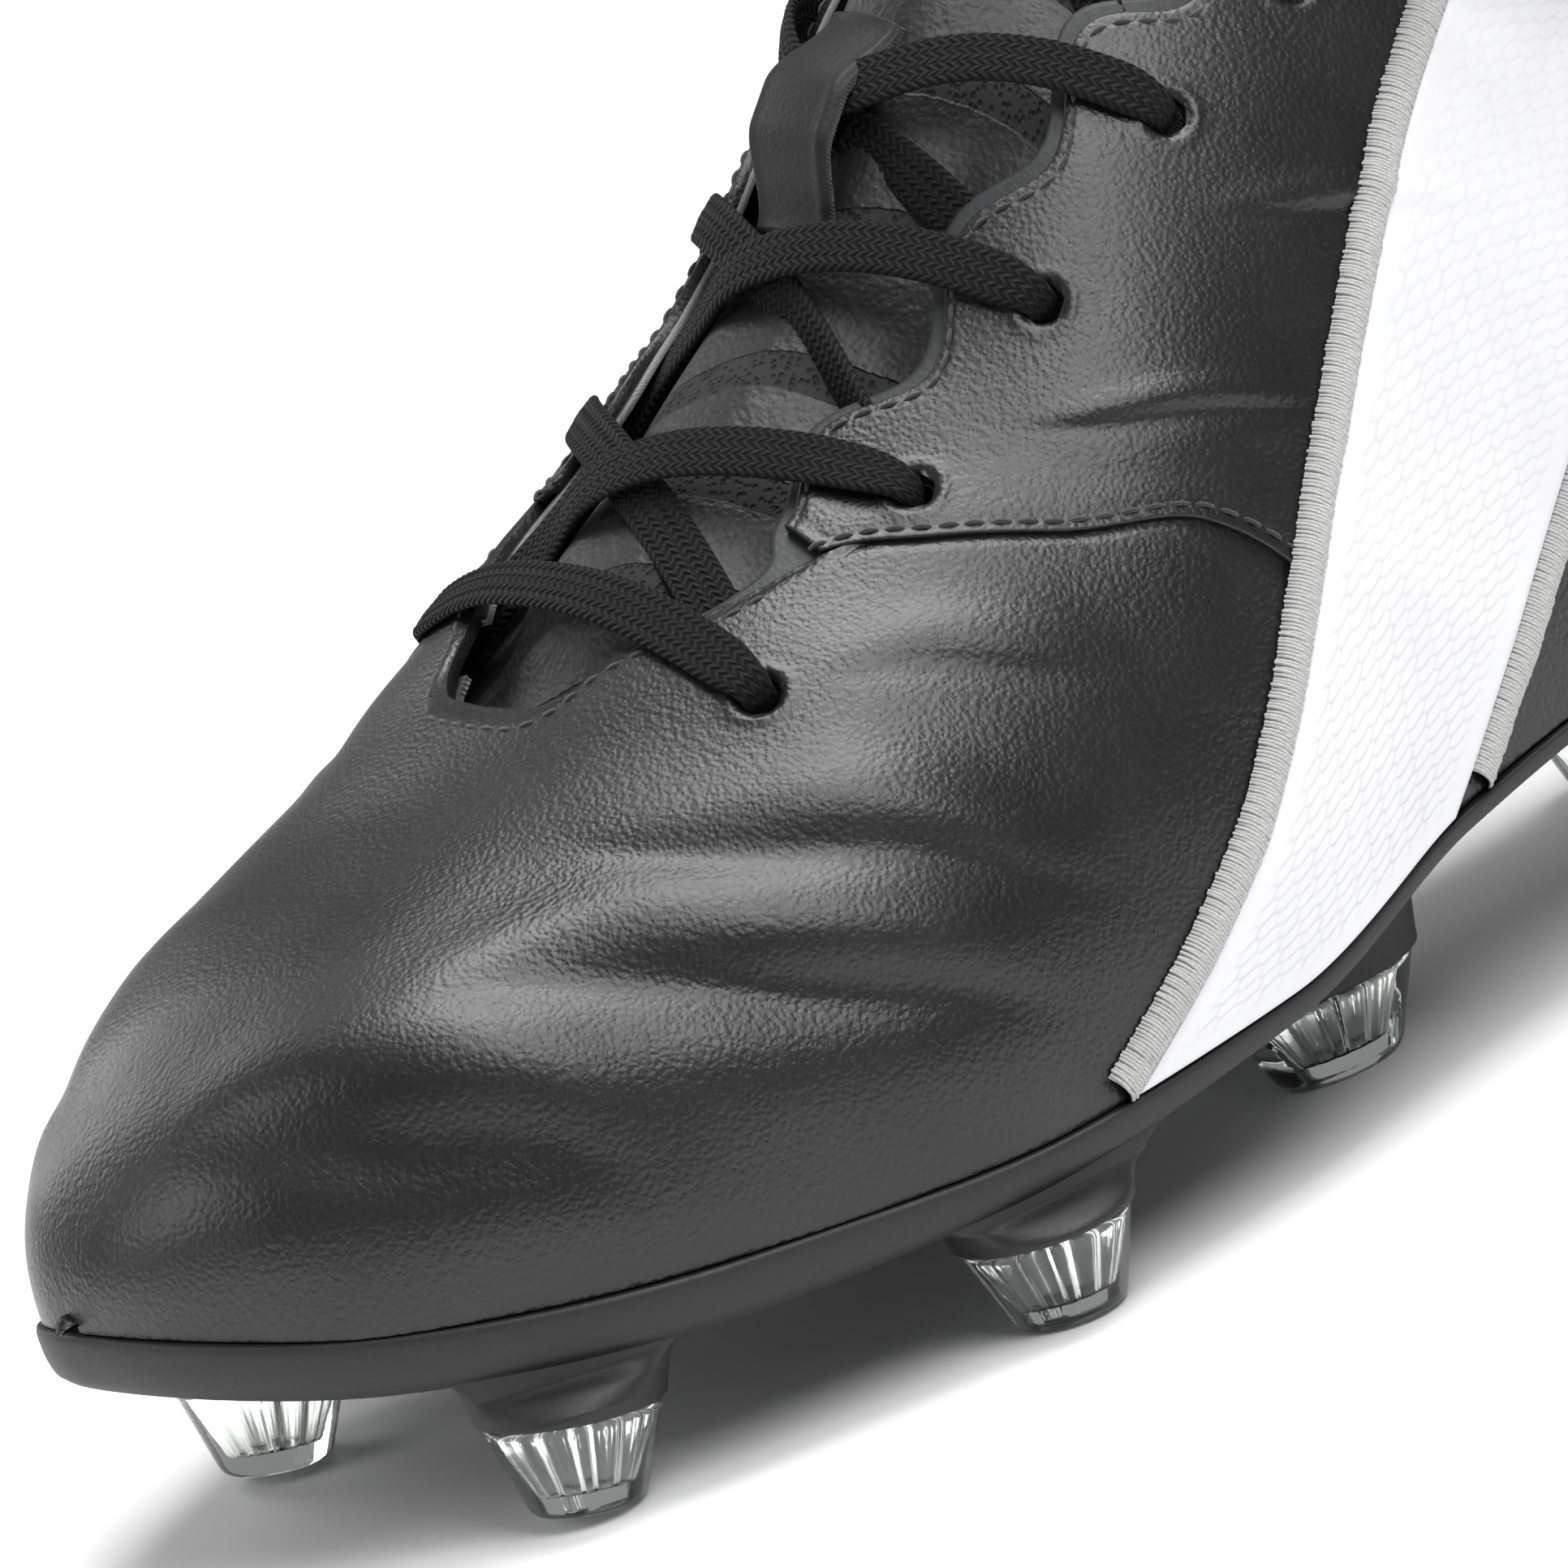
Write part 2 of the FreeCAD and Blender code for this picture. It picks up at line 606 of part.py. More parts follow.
def make_tongue():
    depth = 0.0
    layers = (("tongue_skin", TONGUE_SKIN), ("tongue_foam", TONGUE_FOAM), ("tongue_lining", TONGUE_CLOTH))
    for name, thickness in layers:
        nodes[name] = panel(tongue_place, lambda u, v: tongue_lift(u, v) - depth, thickness, 36, 24)
        depth += thickness + LAYER_GAP


# ---------------------------------------------------------------- lace
def cord_wire(points, name):
    """Straight runs joined by tangent arcs, each as large as its two runs allow."""
    edges, radii = [], []
    last = points[0]
    for before, corner, after in zip(points, points[1:], points[2:]):
        back = before.sub(corner)
        on = after.sub(corner)
        shorter = min(back.Length, on.Length)
        back.normalize()
        on.normalize()
        half_turn = (math.pi - back.getAngle(on)) / 2
        radius = 0.45 * shorter / math.tan(half_turn)
        radii.append(round(radius, 1))
        start = corner + back * (0.45 * shorter)
        end = corner + on * (0.45 * shorter)
        bisector = back + on
        bisector.normalize()
        middle = corner + bisector * (radius / math.cos(half_turn) - radius)
        edges.append(Part.LineSegment(last, start).toShape())
        edges.append(Part.Arc(start, middle, end).toShape())
        last = end
    edges.append(Part.LineSegment(last, points[-1]).toShape())
    wire = Part.Wire(edges)
    print(name, "length", round(wire.Length, 1), "radii", radii)
    return wire


def cord(points, radius, name):
    wire = cord_wire(points, name)
    circle = Part.Wire(Part.Circle(points[0], points[1].sub(points[0]), radius).toShape())
    tube = wire.makePipeShell([circle], True, True)
    expected = math.pi * radius * radius * wire.Length
    print(name, "volume over section times length", round(tube.Volume / expected, 4))
    return tube


def eyelet_at(side, index):
    return EYELET_U[index], side_v(side, EYELET_U[index], EYELET_V[index])


def crossing_run(side, index, middle_height):
    """From under one eyelet, up through the throat and over to the next eyelet opposite."""
    u0, v0 = eyelet_at(side, index)
    u1, v1 = eyelet_at(-side, index + 1)
    pull, late, low = (KEEPER_PULL, 0.06, -0.6) if index == KEEPER_RUN else (0.0, 0.0, LACE_UNDER * 0.26)
    heights = ((0.0, LACE_UNDER), (0.14 + late, LACE_UNDER), (0.31 + late, low), (0.5, middle_height),
               (0.68, LACE_OVER + 0.4), (0.84, LACE_OVER), (1.0, LACE_OVER))
    return [lifted(u0 + t * (u1 - u0) - pull * (1 - abs(2 * t - 1)), v0 + t * (v1 - v0), height)
            for t, height in heights]


def half_lace(side):
    """One half of the lace, from the middle of the bottom bar to the knot."""
    points = []
    u, v = eyelet_at(side, 0)
    for t in (0.25, 0.6, 1.0):
        points.append(lifted(u, THROAT_MIDDLE + t * (v - THROAT_MIDDLE), LACE_OVER))
    for index in range(len(EYELET_U) - 1):
        middle_height = CROSS_LOW if side > 0 else CROSS_HIGH
        points += crossing_run(side, index, middle_height)
        side = -side
    u, v = eyelet_at(side, len(EYELET_U) - 1)
    for t, height in ((0.0, LACE_UNDER), (0.2, LACE_UNDER), (0.5, -1.6), (0.85, 2.0)):
        points.append(lifted(u + t * (KNOT_U - u), v + t * (THROAT_MIDDLE - v), height))
    return points


def keeper_lift(u, v):
    """The strap rises over the crossing laces and comes down to the tongue at both ends."""
    rise = 1 - ease((abs(u - KEEPER_U) - 0.45 * KEEPER_HALF_U) / (0.5 * KEEPER_HALF_U))
    return TONGUE_HIGH + 1.3 + (KEEPER_TOP - TONGUE_HIGH - 1.3) * rise


def keeper_place(a, b):
    u = KEEPER_U + KEEPER_HALF_U * (2 * a - 1)
    return u, THROAT_MIDDLE + KEEPER_HALF_V * (2 * b - 1)


# routes of the bow, in the order that the lace runs from the knot
BOW_LOOP_LATERAL = [
    (1.5, 43.5, 142.6), (7.1, 44.8, 134.5), (13.7, 43.7, 126.9), (20.1, 43.2, 119.6),
    (25.7, 44.3, 113.2), (31.6, 49.4, 106.6), (34.0, 59.0, 104.1), (31.8, 68.6, 106.8),
    (26.0, 73.7, 113.5), (19.4, 71.9, 121.0), (14.6, 67.3, 126.4), (9.8, 60.6, 131.7),
    (5.1, 53.3, 136.9), (0.8, 48.0, 142.3)]
BOW_LOOP_MEDIAL = [
    (-11.5, 43.5, 142.6), (-16.9, 45.4, 134.3), (-23.3, 44.7, 126.6), (-29.6, 44.8, 119.0),
    (-34.9, 46.3, 112.5), (-40.2, 51.9, 105.7), (-41.8, 61.6, 103.2), (-39.0, 71.0, 106.0),
    (-33.1, 75.6, 112.9), (-26.8, 73.3, 120.6), (-22.5, 68.3, 126.1), (-18.4, 61.3, 131.6),
    (-14.4, 53.7, 136.8), (-10.8, 48.0, 142.3)]
TAIL_LATERAL = [
    (-1.0, 49.0, 143.2), (6.5, 53.5, 142.4), (14.5, 58.5, 137.5), (21.8, 63.5, 128.5),
    (27.8, 67.8, 117.8), (33.0, 70.6, 107.0), (36.6, 72.8, 96.0), (37.6, 74.6, 85.2),
    (37.8, 76.0, 75.0)]
TAIL_MEDIAL = [
    (-8.5, 49.0, 143.2), (-16.0, 53.5, 142.4), (-23.5, 58.5, 137.2), (-30.2, 63.5, 128.0),
    (-35.2, 67.8, 117.6), (-38.0, 70.6, 106.6), (-37.6, 72.8, 96.0), (-36.0, 74.6, 85.4),
    (-34.8, 76.0, 75.6)]


def vectors(points):
    return [FreeCAD.Vector(*point) for point in points]


def make_lace():
    starting_inner = half_lace(-1)
    starting_outer = half_lace(1)
    nodes["lace"] = cord(starting_inner[::-1] + starting_outer, LACE_RADIUS, "lace")
    nodes["lace_keeper"] = panel(keeper_place, keeper_lift, KEEPER, 16, 6)
    matrix = FreeCAD.Matrix()
    matrix.scale(*KNOT_HALF_SIZE)
    knot = Part.makeSphere(1.0).transformGeometry(matrix)
    knot.translate(KNOT_CENTRE)
    nodes["bow_knot"] = knot
    for word, loop, tail in (("lateral", BOW_LOOP_LATERAL, TAIL_LATERAL),
                             ("medial", BOW_LOOP_MEDIAL, TAIL_MEDIAL)):
        nodes["bow_loop_" + word] = cord(vectors(loop), LACE_RADIUS, "bow_loop_" + word)
        ends = vectors(tail)
        nodes["lace_tail_" + word] = cord(ends, LACE_RADIUS, "lace_tail_" + word)
        hanging = ends[-1].sub(ends[-2])
        nodes["aglet_" + word] = Part.makeCylinder(AGLET_RADIUS, AGLET_LENGTH, ends[-1], hanging)


make_sole()
make_upper()
make_tongue()
make_lace()

os.makedirs("parts", exist_ok=True)
for name, shape in nodes.items():
    moved = shape.copy()
    moved.translate(ORIGIN_SHIFT)
    print(name, "valid" if moved.isValid() else "INVALID", round(moved.Volume, 1), len(moved.Solids))
    moved.exportStep("parts/" + name + ".step")
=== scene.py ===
"""Looks of the laced leather football boot. Lengths in the shape code are millimetres; meshes are metres."""

import math

import bpy
import numpy as np
from mathutils import Matrix, Vector


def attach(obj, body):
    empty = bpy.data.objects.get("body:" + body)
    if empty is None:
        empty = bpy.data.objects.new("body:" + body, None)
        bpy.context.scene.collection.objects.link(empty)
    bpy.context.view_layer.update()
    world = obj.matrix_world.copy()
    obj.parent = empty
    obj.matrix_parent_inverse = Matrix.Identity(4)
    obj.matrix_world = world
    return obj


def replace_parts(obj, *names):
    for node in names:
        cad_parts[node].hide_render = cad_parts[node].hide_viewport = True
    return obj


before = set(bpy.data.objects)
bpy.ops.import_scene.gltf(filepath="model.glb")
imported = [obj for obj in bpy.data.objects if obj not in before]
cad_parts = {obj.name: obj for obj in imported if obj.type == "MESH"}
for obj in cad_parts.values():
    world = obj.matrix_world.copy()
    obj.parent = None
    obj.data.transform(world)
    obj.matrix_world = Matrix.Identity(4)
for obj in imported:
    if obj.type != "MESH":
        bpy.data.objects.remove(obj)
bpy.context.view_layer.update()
MM = 0.001
SHIFT = np.array([-1.7, -8.1, 0.0])
rng = np.random.default_rng(7)

# ------------------------------------------------------------------ camera
AIM = np.array([-64.8, 0.0, 30.4]) + SHIFT
AZIMUTH, ELEVATION, ROLL = math.radians(58.42), math.radians(14.0), math.radians(-18.54)
DISTANCE = 1055.0


def make_camera():
    back = Vector((math.sin(AZIMUTH) * math.cos(ELEVATION), -math.cos(AZIMUTH) * math.cos(ELEVATION),
                   math.sin(ELEVATION)))
    right = Vector((math.cos(AZIMUTH), math.sin(AZIMUTH), 0.0))
    up = back.cross(right)
    rolled_right = math.cos(ROLL) * right + math.sin(ROLL) * up
    rolled_up = math.cos(ROLL) * up - math.sin(ROLL) * right
    data = bpy.data.cameras.new("camera")
    data.sensor_width = 36.0
    data.lens = 220.4
    data.clip_end = 50.0
    camera = bpy.data.objects.new("camera", data)
    bpy.context.scene.collection.objects.link(camera)
    turn = Matrix((rolled_right, rolled_up, back)).transposed()
    place = Vector(AIM * MM) + back * DISTANCE * MM
    camera.matrix_world = Matrix.Translation(place) @ turn.to_4x4()
    bpy.context.scene.camera = camera


make_camera()

# ------------------------------------------------------------------ the surface of the upper, as in the CAD part
TOE_Y, HEEL_Y = -131.1, 147.7


def curve(xs, ys):
    """Monotone cubic through the stations, level outside them."""
    xs, ys = np.array(xs, float), np.array(ys, float)
    h = np.diff(xs)
    d = np.diff(ys) / h
    m = np.concatenate([[d[0]], np.zeros(len(xs) - 2), [d[-1]]])
    for i in range(1, len(xs) - 1):
        if d[i - 1] * d[i] > 0:
            wa, wb = 2 * h[i] + h[i - 1], h[i] + 2 * h[i - 1]
            m[i] = (wa + wb) / (wa / d[i - 1] + wb / d[i])

    def value(x):
        x = np.clip(x, xs[0], xs[-1])
        i = np.clip(np.searchsorted(xs, x, side="right") - 1, 0, len(xs) - 2)
        t = (x - xs[i]) / h[i]
        level = (1 + 2 * t) * (1 - t) ** 2 * ys[i] + t * t * (3 - 2 * t) * ys[i + 1]
        return level + h[i] * (t * (1 - t) ** 2 * m[i] - t * t * (1 - t) * m[i + 1])

    return value


STATION_Y = [-148, -116, -84, -53, -21, 11, 42, 74, 106, 148]
SHAPE_Y = [-148, -106, -53, 0, 53, 106, 148]
feather_z = curve(STATION_Y, [35.7, 24.6, 20.5, 18.8, 20.0, 26.5, 29.3, 30.2, 30.6, 30.6])
centre_x = curve(STATION_Y, [-12.8, -10.9, -7.0, -3.2, -1.1, 0, 0, 0, 0, 0])
outer_width = curve(STATION_Y, [46.3, 47.4, 48.0, 51.7, 48.5, 41.1, 35.9, 34.3, 33.8, 33.8])
inner_width = curve(STATION_Y, [37.1, 36.1, 43.3, 44.3, 39.0, 31.7, 29.0, 30.6, 32.7, 32.7])
crest_height = curve(STATION_Y, [24.1, 32.5, 42.6, 59.1, 75.9, 98.3, 110.0, 114.0, 116.0, 116.0])
crest_x = curve(STATION_Y, [-12.8, -8.4, -8.4, -9.5, -11.1, -10.6, -8.4, -4.2, -1.0, 0])
sidewall = curve(STATION_Y, [7.0, 6.9, 6.3, 4.6, 3.2, 2.6, 2.6, 3.2, 3.6, 3.6])
outer_bulge = curve(SHAPE_Y, [1.6, 3.2, 4.2, 3.2, 1.1, 0, 0])
inner_bulge = curve(SHAPE_Y, [1.6, 2.1, 1.1, 1.1, 1.1, 0, 0])
outer_rise = curve(SHAPE_Y, [0.75, 0.72, 0.62, 0.56, 0.6, 0.6, 0.6])
inner_rise = curve(SHAPE_Y, [0.8, 0.8, 0.72, 0.62, 0.6, 0.6, 0.6])
outer_shoulder = curve(SHAPE_Y, [0.62, 0.6, 0.55, 0.58, 0.6, 0.7, 0.7])
inner_shoulder = curve(SHAPE_Y, [0.62, 0.64, 0.66, 0.7, 0.7, 0.7, 0.7])


def ease(t):
    t = np.clip(t, 0.0, 1.0)
    return t * t * (3 - 2 * t)


def round_end(distance, length):
    t = np.clip(1 - distance / length, 0.0, 1.0)
    return np.sqrt(np.maximum(0.0, 1 - t * t))


def along(u):
    return (TOE_Y + HEEL_Y) / 2 - (HEEL_Y - TOE_Y) / 2 * np.cos(math.pi * u)


def heel_curve(u, z):
    height = z - 30.6
    lean = -8.4 * np.clip((height - 23) / 47, 0.0, 2.0) ** 1.6
    tuck = -3.2 * np.clip(1 - height / 23, 0.0, 1.0) ** 2
    return ease((u - 0.72) / 0.28) * (lean + tuck)


def half_widths(u):
    y = along(u)
    heel = round_end(HEEL_Y - y, 35.9)
    return (outer_width(y) * round_end(y - TOE_Y, 55.1) * heel,
            inner_width(y) * round_end(y - TOE_Y, 62.7) * heel)


def surface(u, v):
    """Points of the outside of the upper: u from toe to heel, v from inner edge over the crest to outer edge."""
    u, v = np.broadcast_arrays(np.asarray(u, float), np.asarray(v, float))
    y = along(u)
    heel = round_end(HEEL_Y - y, 35.9)
    outer, inner = half_widths(u)
    height = crest_height(y) * round_end(y - TOE_Y, 35.9)
    cx = centre_x(y)
    top_x = cx + (crest_x(y) - cx) * heel
    fullness = round_end(y - TOE_Y, 42.2) * heel
    lateral = v >= 0
    width = np.where(lateral, outer, -inner)
    bulge = np.where(lateral, outer_bulge(y), -inner_bulge(y)) * fullness
    rise = np.where(lateral, outer_rise(y), inner_rise(y))
    shoulder = np.where(lateral, outer_shoulder(y), inner_shoulder(y))
    t = 1 - np.abs(v)
    b0, b1, b2, b3 = (1 - t) ** 3, 3 * t * (1 - t) ** 2, 3 * t * t * (1 - t), t ** 3
    x = b0 * (cx + width) + b1 * (cx + width + bulge) + b2 * (top_x + shoulder * width) + b3 * top_x
    z = feather_z(y) + height * (b1 * rise + b2 + b3)
    return np.stack([x, y + heel_curve(u, z), z], axis=-1)


def unit(a):
    return a / np.maximum(np.linalg.norm(a, axis=-1, keepdims=True), 1e-9)


def normal(u, v):
    u, v = np.broadcast_arrays(np.asarray(u, float), np.asarray(v, float))
    across = surface(u, np.minimum(v + 0.01, 1.0)) - surface(u, np.maximum(v - 0.01, -1.0))
    lengthwise = surface(np.minimum(u + 0.002, 0.999), v) - surface(np.maximum(u - 0.002, 0.001), v)
    return unit(-np.cross(lengthwise, across))


def lifted(u, v, h):
    return surface(u, v) + normal(u, v) * np.asarray(h, float)[..., None]


# ------------------------------------------------------------------ outlines on the surface, as in the CAD part
THROAT_SHIFT, THROAT_MIDDLE = 0.10, 0.05
EYELET_U = [0.350, 0.414, 0.464, 0.514, 0.561]
EYELET_V = [0.415, 0.405, 0.435, 0.475, 0.495]
END_U = 0.9985
EYESTAY_END_U = 0.575
EYELET_RADIUS = 2.2
SIDES = ((1, "lateral"), (-1, "medial"))
vamp_back_outer = curve(
    [0.05, 0.13, 0.18, 0.21, 0.305, 0.325, 0.355, 0.455, 0.555, 0.68, 0.83, 1.0],
    [0.316, 0.318, 0.326, 0.340, 0.365, 0.372, 0.385, 0.408, 0.432, 0.465, 0.487, 0.498])
topline = curve([0.575, 0.59, 0.615, 0.66, 0.75, 0.85, 0.93, 1.0],
                [0.430, 0.465, 0.530, 0.60, 0.66, 0.63, 0.585, 0.56])
eyelet_line = curve(EYELET_U, EYELET_V)
low_throat_edge = curve([0.343, 0.365, 0.378, 0.388], [0.200, 0.286, 0.306, 0.288])


def throat_edge(u):
    return np.minimum(0.295 + 0.90 * (u - 0.413), 0.42) - 0.028 * np.cos(2 * math.pi * (u - 0.411) / 0.050)


def vamp_back(v):
    v = np.asarray(v, float)
    outer = THROAT_MIDDLE + np.abs(v - THROAT_MIDDLE)
    mirrored = outer
    for _ in range(8):
        mirrored = -v + THROAT_SHIFT * (1 - ease((mirrored - 0.35) / 0.5))
    return vamp_back_outer(np.where(v >= THROAT_MIDDLE, outer, mirrored))


def quarter_top(u):
    join = ease((u - EYESTAY_END_U + 0.006) / 0.012)
    return throat_edge(u) * (1 - join) + topline(u) * join


def facing_edge(u):
    join = ease((u - 0.380) / 0.01)
    return low_throat_edge(u) * (1 - join) + (throat_edge(u) - 0.022) * join


def side_v(side, u, v):
    if side > 0:
        return v
    return -(v - THROAT_SHIFT * (1 - ease((v - 0.35) / 0.5)) * (1 - ease((u - 0.60) / 0.15)))


def four_sided(side, sole_edge, upper_edge, front_edge, rear_edge):
    """Patch between four edges, each a function from 0..1 to (u, v); a runs back, b up."""

    def place(a, b):
        point = []
        for k in (0, 1):
            blend = (1 - b) * sole_edge(a)[k] + b * upper_edge(a)[k] + (1 - a) * front_edge(b)[k] + a * rear_edge(b)[k]
            corners = ((1 - a) * sole_edge(0.0)[k] + a * sole_edge(1.0)[k]) * (1 - b)
            corners = corners + ((1 - a) * upper_edge(0.0)[k] + a * upper_edge(1.0)[k]) * b
            point.append(blend - corners)
        return point[0], side_v(side, point[0], point[1])

    return place


def line_edge(start, end):
    return lambda t: (start[0] + t * (end[0] - start[0]), start[1] + t * (end[1] - start[1]))


def quad(side, front_low, rear_low, front_high, rear_high):
    return four_sided(side, line_edge(front_low, rear_low), line_edge(front_high, rear_high),
                      line_edge(front_low, front_high), line_edge(rear_low, rear_high))


def vamp_place(a, b):
    """The vamp runs on a little way under the quarters."""
    v = -1 + 2 * b
    back = vamp_back(v) + 0.005 * ease((np.abs(v - THROAT_MIDDLE) - 0.32) / 0.03)
    return 0.003 + a * (back - 0.003), v


def quarter_place(side, gap=0.0012):
    u_low, u_high = vamp_back_outer(1.0) + gap, vamp_back_outer(0.36) + gap

    def upper_edge(a):
        u = u_high + a * (END_U - u_high)
        return u, quarter_top(u)

    def front_edge(b):
        v = 1.0 + b * (quarter_top(u_high) - 1.0)
        return vamp_back_outer(np.maximum(v, 0.36)) + gap, v

    return four_sided(side, line_edge((u_low, 1.0), (END_U, 1.0)), upper_edge, front_edge,
                      line_edge((END_U, 1.0), (END_U, quarter_top(1.0))))


def facing_place(side):
    def upper_edge(a):
        u = 0.345 + a * (EYESTAY_END_U - 0.349)
        return u, facing_edge(u)

    def sole_edge(a):
        u = upper_edge(a)[0]
        return u, eyelet_line(u) + 0.05

    return four_sided(side, sole_edge, upper_edge, line_edge(sole_edge(0.0), upper_edge(0.0)),
                      line_edge(sole_edge(1.0), upper_edge(1.0)))


def tongue_place(a, b):
    u = 0.308 + a * (0.604 - 0.308)
    half = 0.25 + 0.10 * ease((u - 0.308) / 0.10)
    across = 2 * b - 1
    return u - 0.014 * ease((a - 0.8) / 0.2) * across ** 4, THROAT_MIDDLE + half * across


def tongue_lift(u, v):
    side = ease((np.abs(v - THROAT_MIDDLE) - 0.05) / 0.17)
    return -6.0 + 4.2 * ease((u - 0.325) / 0.03) * (1 - side)


# ------------------------------------------------------------------ mesh helpers
def add_object(name, verts, faces, material, body="shoe", uv=None, smooth=True):
    """verts in millimetres before the shift."""
    mesh = bpy.data.meshes.new(name)
    points = (np.asarray(verts, float).reshape(-1, 3) + SHIFT) * MM
    faces = np.asarray(faces, np.int32)
    size = faces.shape[1]
    mesh.vertices.add(len(points))
    mesh.vertices.foreach_set("co", points.ravel())
    mesh.loops.add(faces.size)
    mesh.loops.foreach_set("vertex_index", faces.ravel())
    mesh.polygons.add(len(faces))
    mesh.polygons.foreach_set("loop_start", np.arange(0, faces.size, size, dtype=np.int32))
    mesh.update(calc_edges=True)
    mesh.validate()
    if uv is not None:
        layer = mesh.uv_layers.new(name="UVMap")
        layer.data.foreach_set("uv", np.asarray(uv, float).reshape(-1, 2)[faces.ravel()].ravel())
    mesh.polygons.foreach_set("use_smooth", np.full(len(mesh.polygons), smooth))
    mesh.materials.append(material)
    obj = bpy.data.objects.new(name, mesh)
    bpy.context.scene.collection.objects.link(obj)
    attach(obj, body)
    return obj


def grid_faces(n, m, wrap=False):
    """Quads of an n by m grid of points; wrap joins the last column to the first."""
    i, j = np.meshgrid(np.arange(n - 1), np.arange(m if wrap else m - 1), indexing="ij")
    k = (j + 1) % m
    return np.stack([i * m + j, (i + 1) * m + j, (i + 1) * m + k, i * m + k], axis=-1).reshape(-1, 4)


def parameters(n, m):
    return np.meshgrid(np.linspace(0, 1, n), np.linspace(0, 1, m), indexing="ij")


def apply_modifiers(obj):
    bpy.context.view_layer.update()
    graph = bpy.context.evaluated_depsgraph_get()
    mesh = bpy.data.meshes.new_from_object(obj.evaluated_get(graph))
    old = obj.data
    obj.modifiers.clear()
    obj.data = mesh
    bpy.data.meshes.remove(old)


def thicken(outer, inner, faces):
    """Closed sheet from its two sides, which share their faces."""
    n = len(outer)
    edges = np.concatenate([faces[:, [k, (k + 1) % 4]] for k in range(4)])
    border = edges[~np.isin(edges[:, 0] * n + edges[:, 1], edges[:, 1] * n + edges[:, 0])]
    rim = np.stack([border[:, 1], border[:, 0], border[:, 0] + n, border[:, 1] + n], axis=1)
    return np.concatenate([outer, inner]), np.concatenate([faces, faces[:, ::-1] + n, rim])


def finish_rim(obj, side_points, bevel, rim_material, holes):
    """Rounds the outer edges of a sheet and gives its rim a material; holes are centres left sharp."""
    mesh = obj.data
    corners, loops = np.empty(len(mesh.loops), np.int32), np.empty(len(mesh.loops), np.int32)
    mesh.loops.foreach_get("vertex_index", corners)
    mesh.loops.foreach_get("edge_index", loops)
    outside = corners.reshape(-1, 4) < side_points
    rim = outside.any(axis=1) & ~outside.all(axis=1)
    if rim_material:
        mesh.materials.append(rim_material)
        mesh.polygons.foreach_set("material_index", rim.astype(np.int32))
    if not bevel:
        return
    ends = np.empty(2 * len(mesh.edges), np.int32)
    mesh.edges.foreach_get("vertices", ends)
    ends = ends.reshape(-1, 2)
    co = np.empty(3 * len(mesh.vertices))
    mesh.vertices.foreach_get("co", co)
    start = co.reshape(-1, 3)[ends[:, 0]] / MM - SHIFT
    chosen = np.zeros(len(ends), bool)
    chosen[loops.reshape(-1, 4)[rim].ravel()] = True
    chosen &= (ends[:, 0] < side_points) == (ends[:, 1] < side_points)
    for hole in holes:
        chosen &= np.linalg.norm(start - hole, axis=1) > 2 * EYELET_RADIUS
    mesh.attributes.new("bevel_weight_edge", "FLOAT", "EDGE").data.foreach_set("value",
                                                                               chosen.astype(np.float32))
    edge = obj.modifiers.new("edge", "BEVEL")
    edge.width = bevel * MM
    edge.segments = 2
    edge.limit_method = "WEIGHT"
    apply_modifiers(obj)
    obj.data.polygons.foreach_set("use_smooth", np.full(len(obj.data.polygons), True))


def open_eyelets(points, centres, radius, roll):
    """Pulls the points of a sheet off each (centre, normal) into a round rim; also says which were inside."""
    moved_points, inside = points.copy(), np.zeros(len(points), bool)
    for centre, out in centres:
        distance = np.linalg.norm(points - centre, axis=1)
        inside |= distance < 0.55 * radius
        near = distance < 2.2 * radius
        d = distance[near]
        reach = radius * np.maximum(1.0, 1 + 1.2 * (d / radius - 0.55) / 1.65)
        rolled = np.clip(1 - (reach - radius) / 0.9, 0, 1) ** 2
        moved_points[near] = centre + (points[near] - centre) * (reach / np.maximum(d, 1e-6))[:, None]
        moved_points[near] += out * (roll * (np.exp(-((reach - radius - 1.0) / 0.6) ** 2) - 2.8 * rolled))[:, None]
    return moved_points, inside


def sample_spline(points, spacing):
    """Points along one smooth curve with the given control points."""
    data = bpy.data.curves.new("route", "CURVE")
    data.dimensions = "3D"
    spline = data.splines.new("NURBS")
    spline.points.add(len(points) - 1)
    for p, q in zip(spline.points, points):
        p.co = (*q, 1.0)
    spline.order_u = 3
    spline.use_endpoint_u = True
    spline.resolution_u = 12
    obj = bpy.data.objects.new("route", data)
    bpy.context.scene.collection.objects.link(obj)
    mesh = bpy.data.meshes.new_from_object(obj)
    co = np.array([v.co[:] for v in mesh.vertices])
    bpy.data.objects.remove(obj)
    bpy.data.meshes.remove(mesh)
    bpy.data.curves.remove(data)
    length = np.concatenate([[0], np.cumsum(np.linalg.norm(np.diff(co, axis=0), axis=1))])
    s = np.linspace(0, length[-1], max(int(length[-1] / spacing), 4))
    return np.stack([np.interp(s, length, co[:, k]) for k in range(3)], axis=1), s


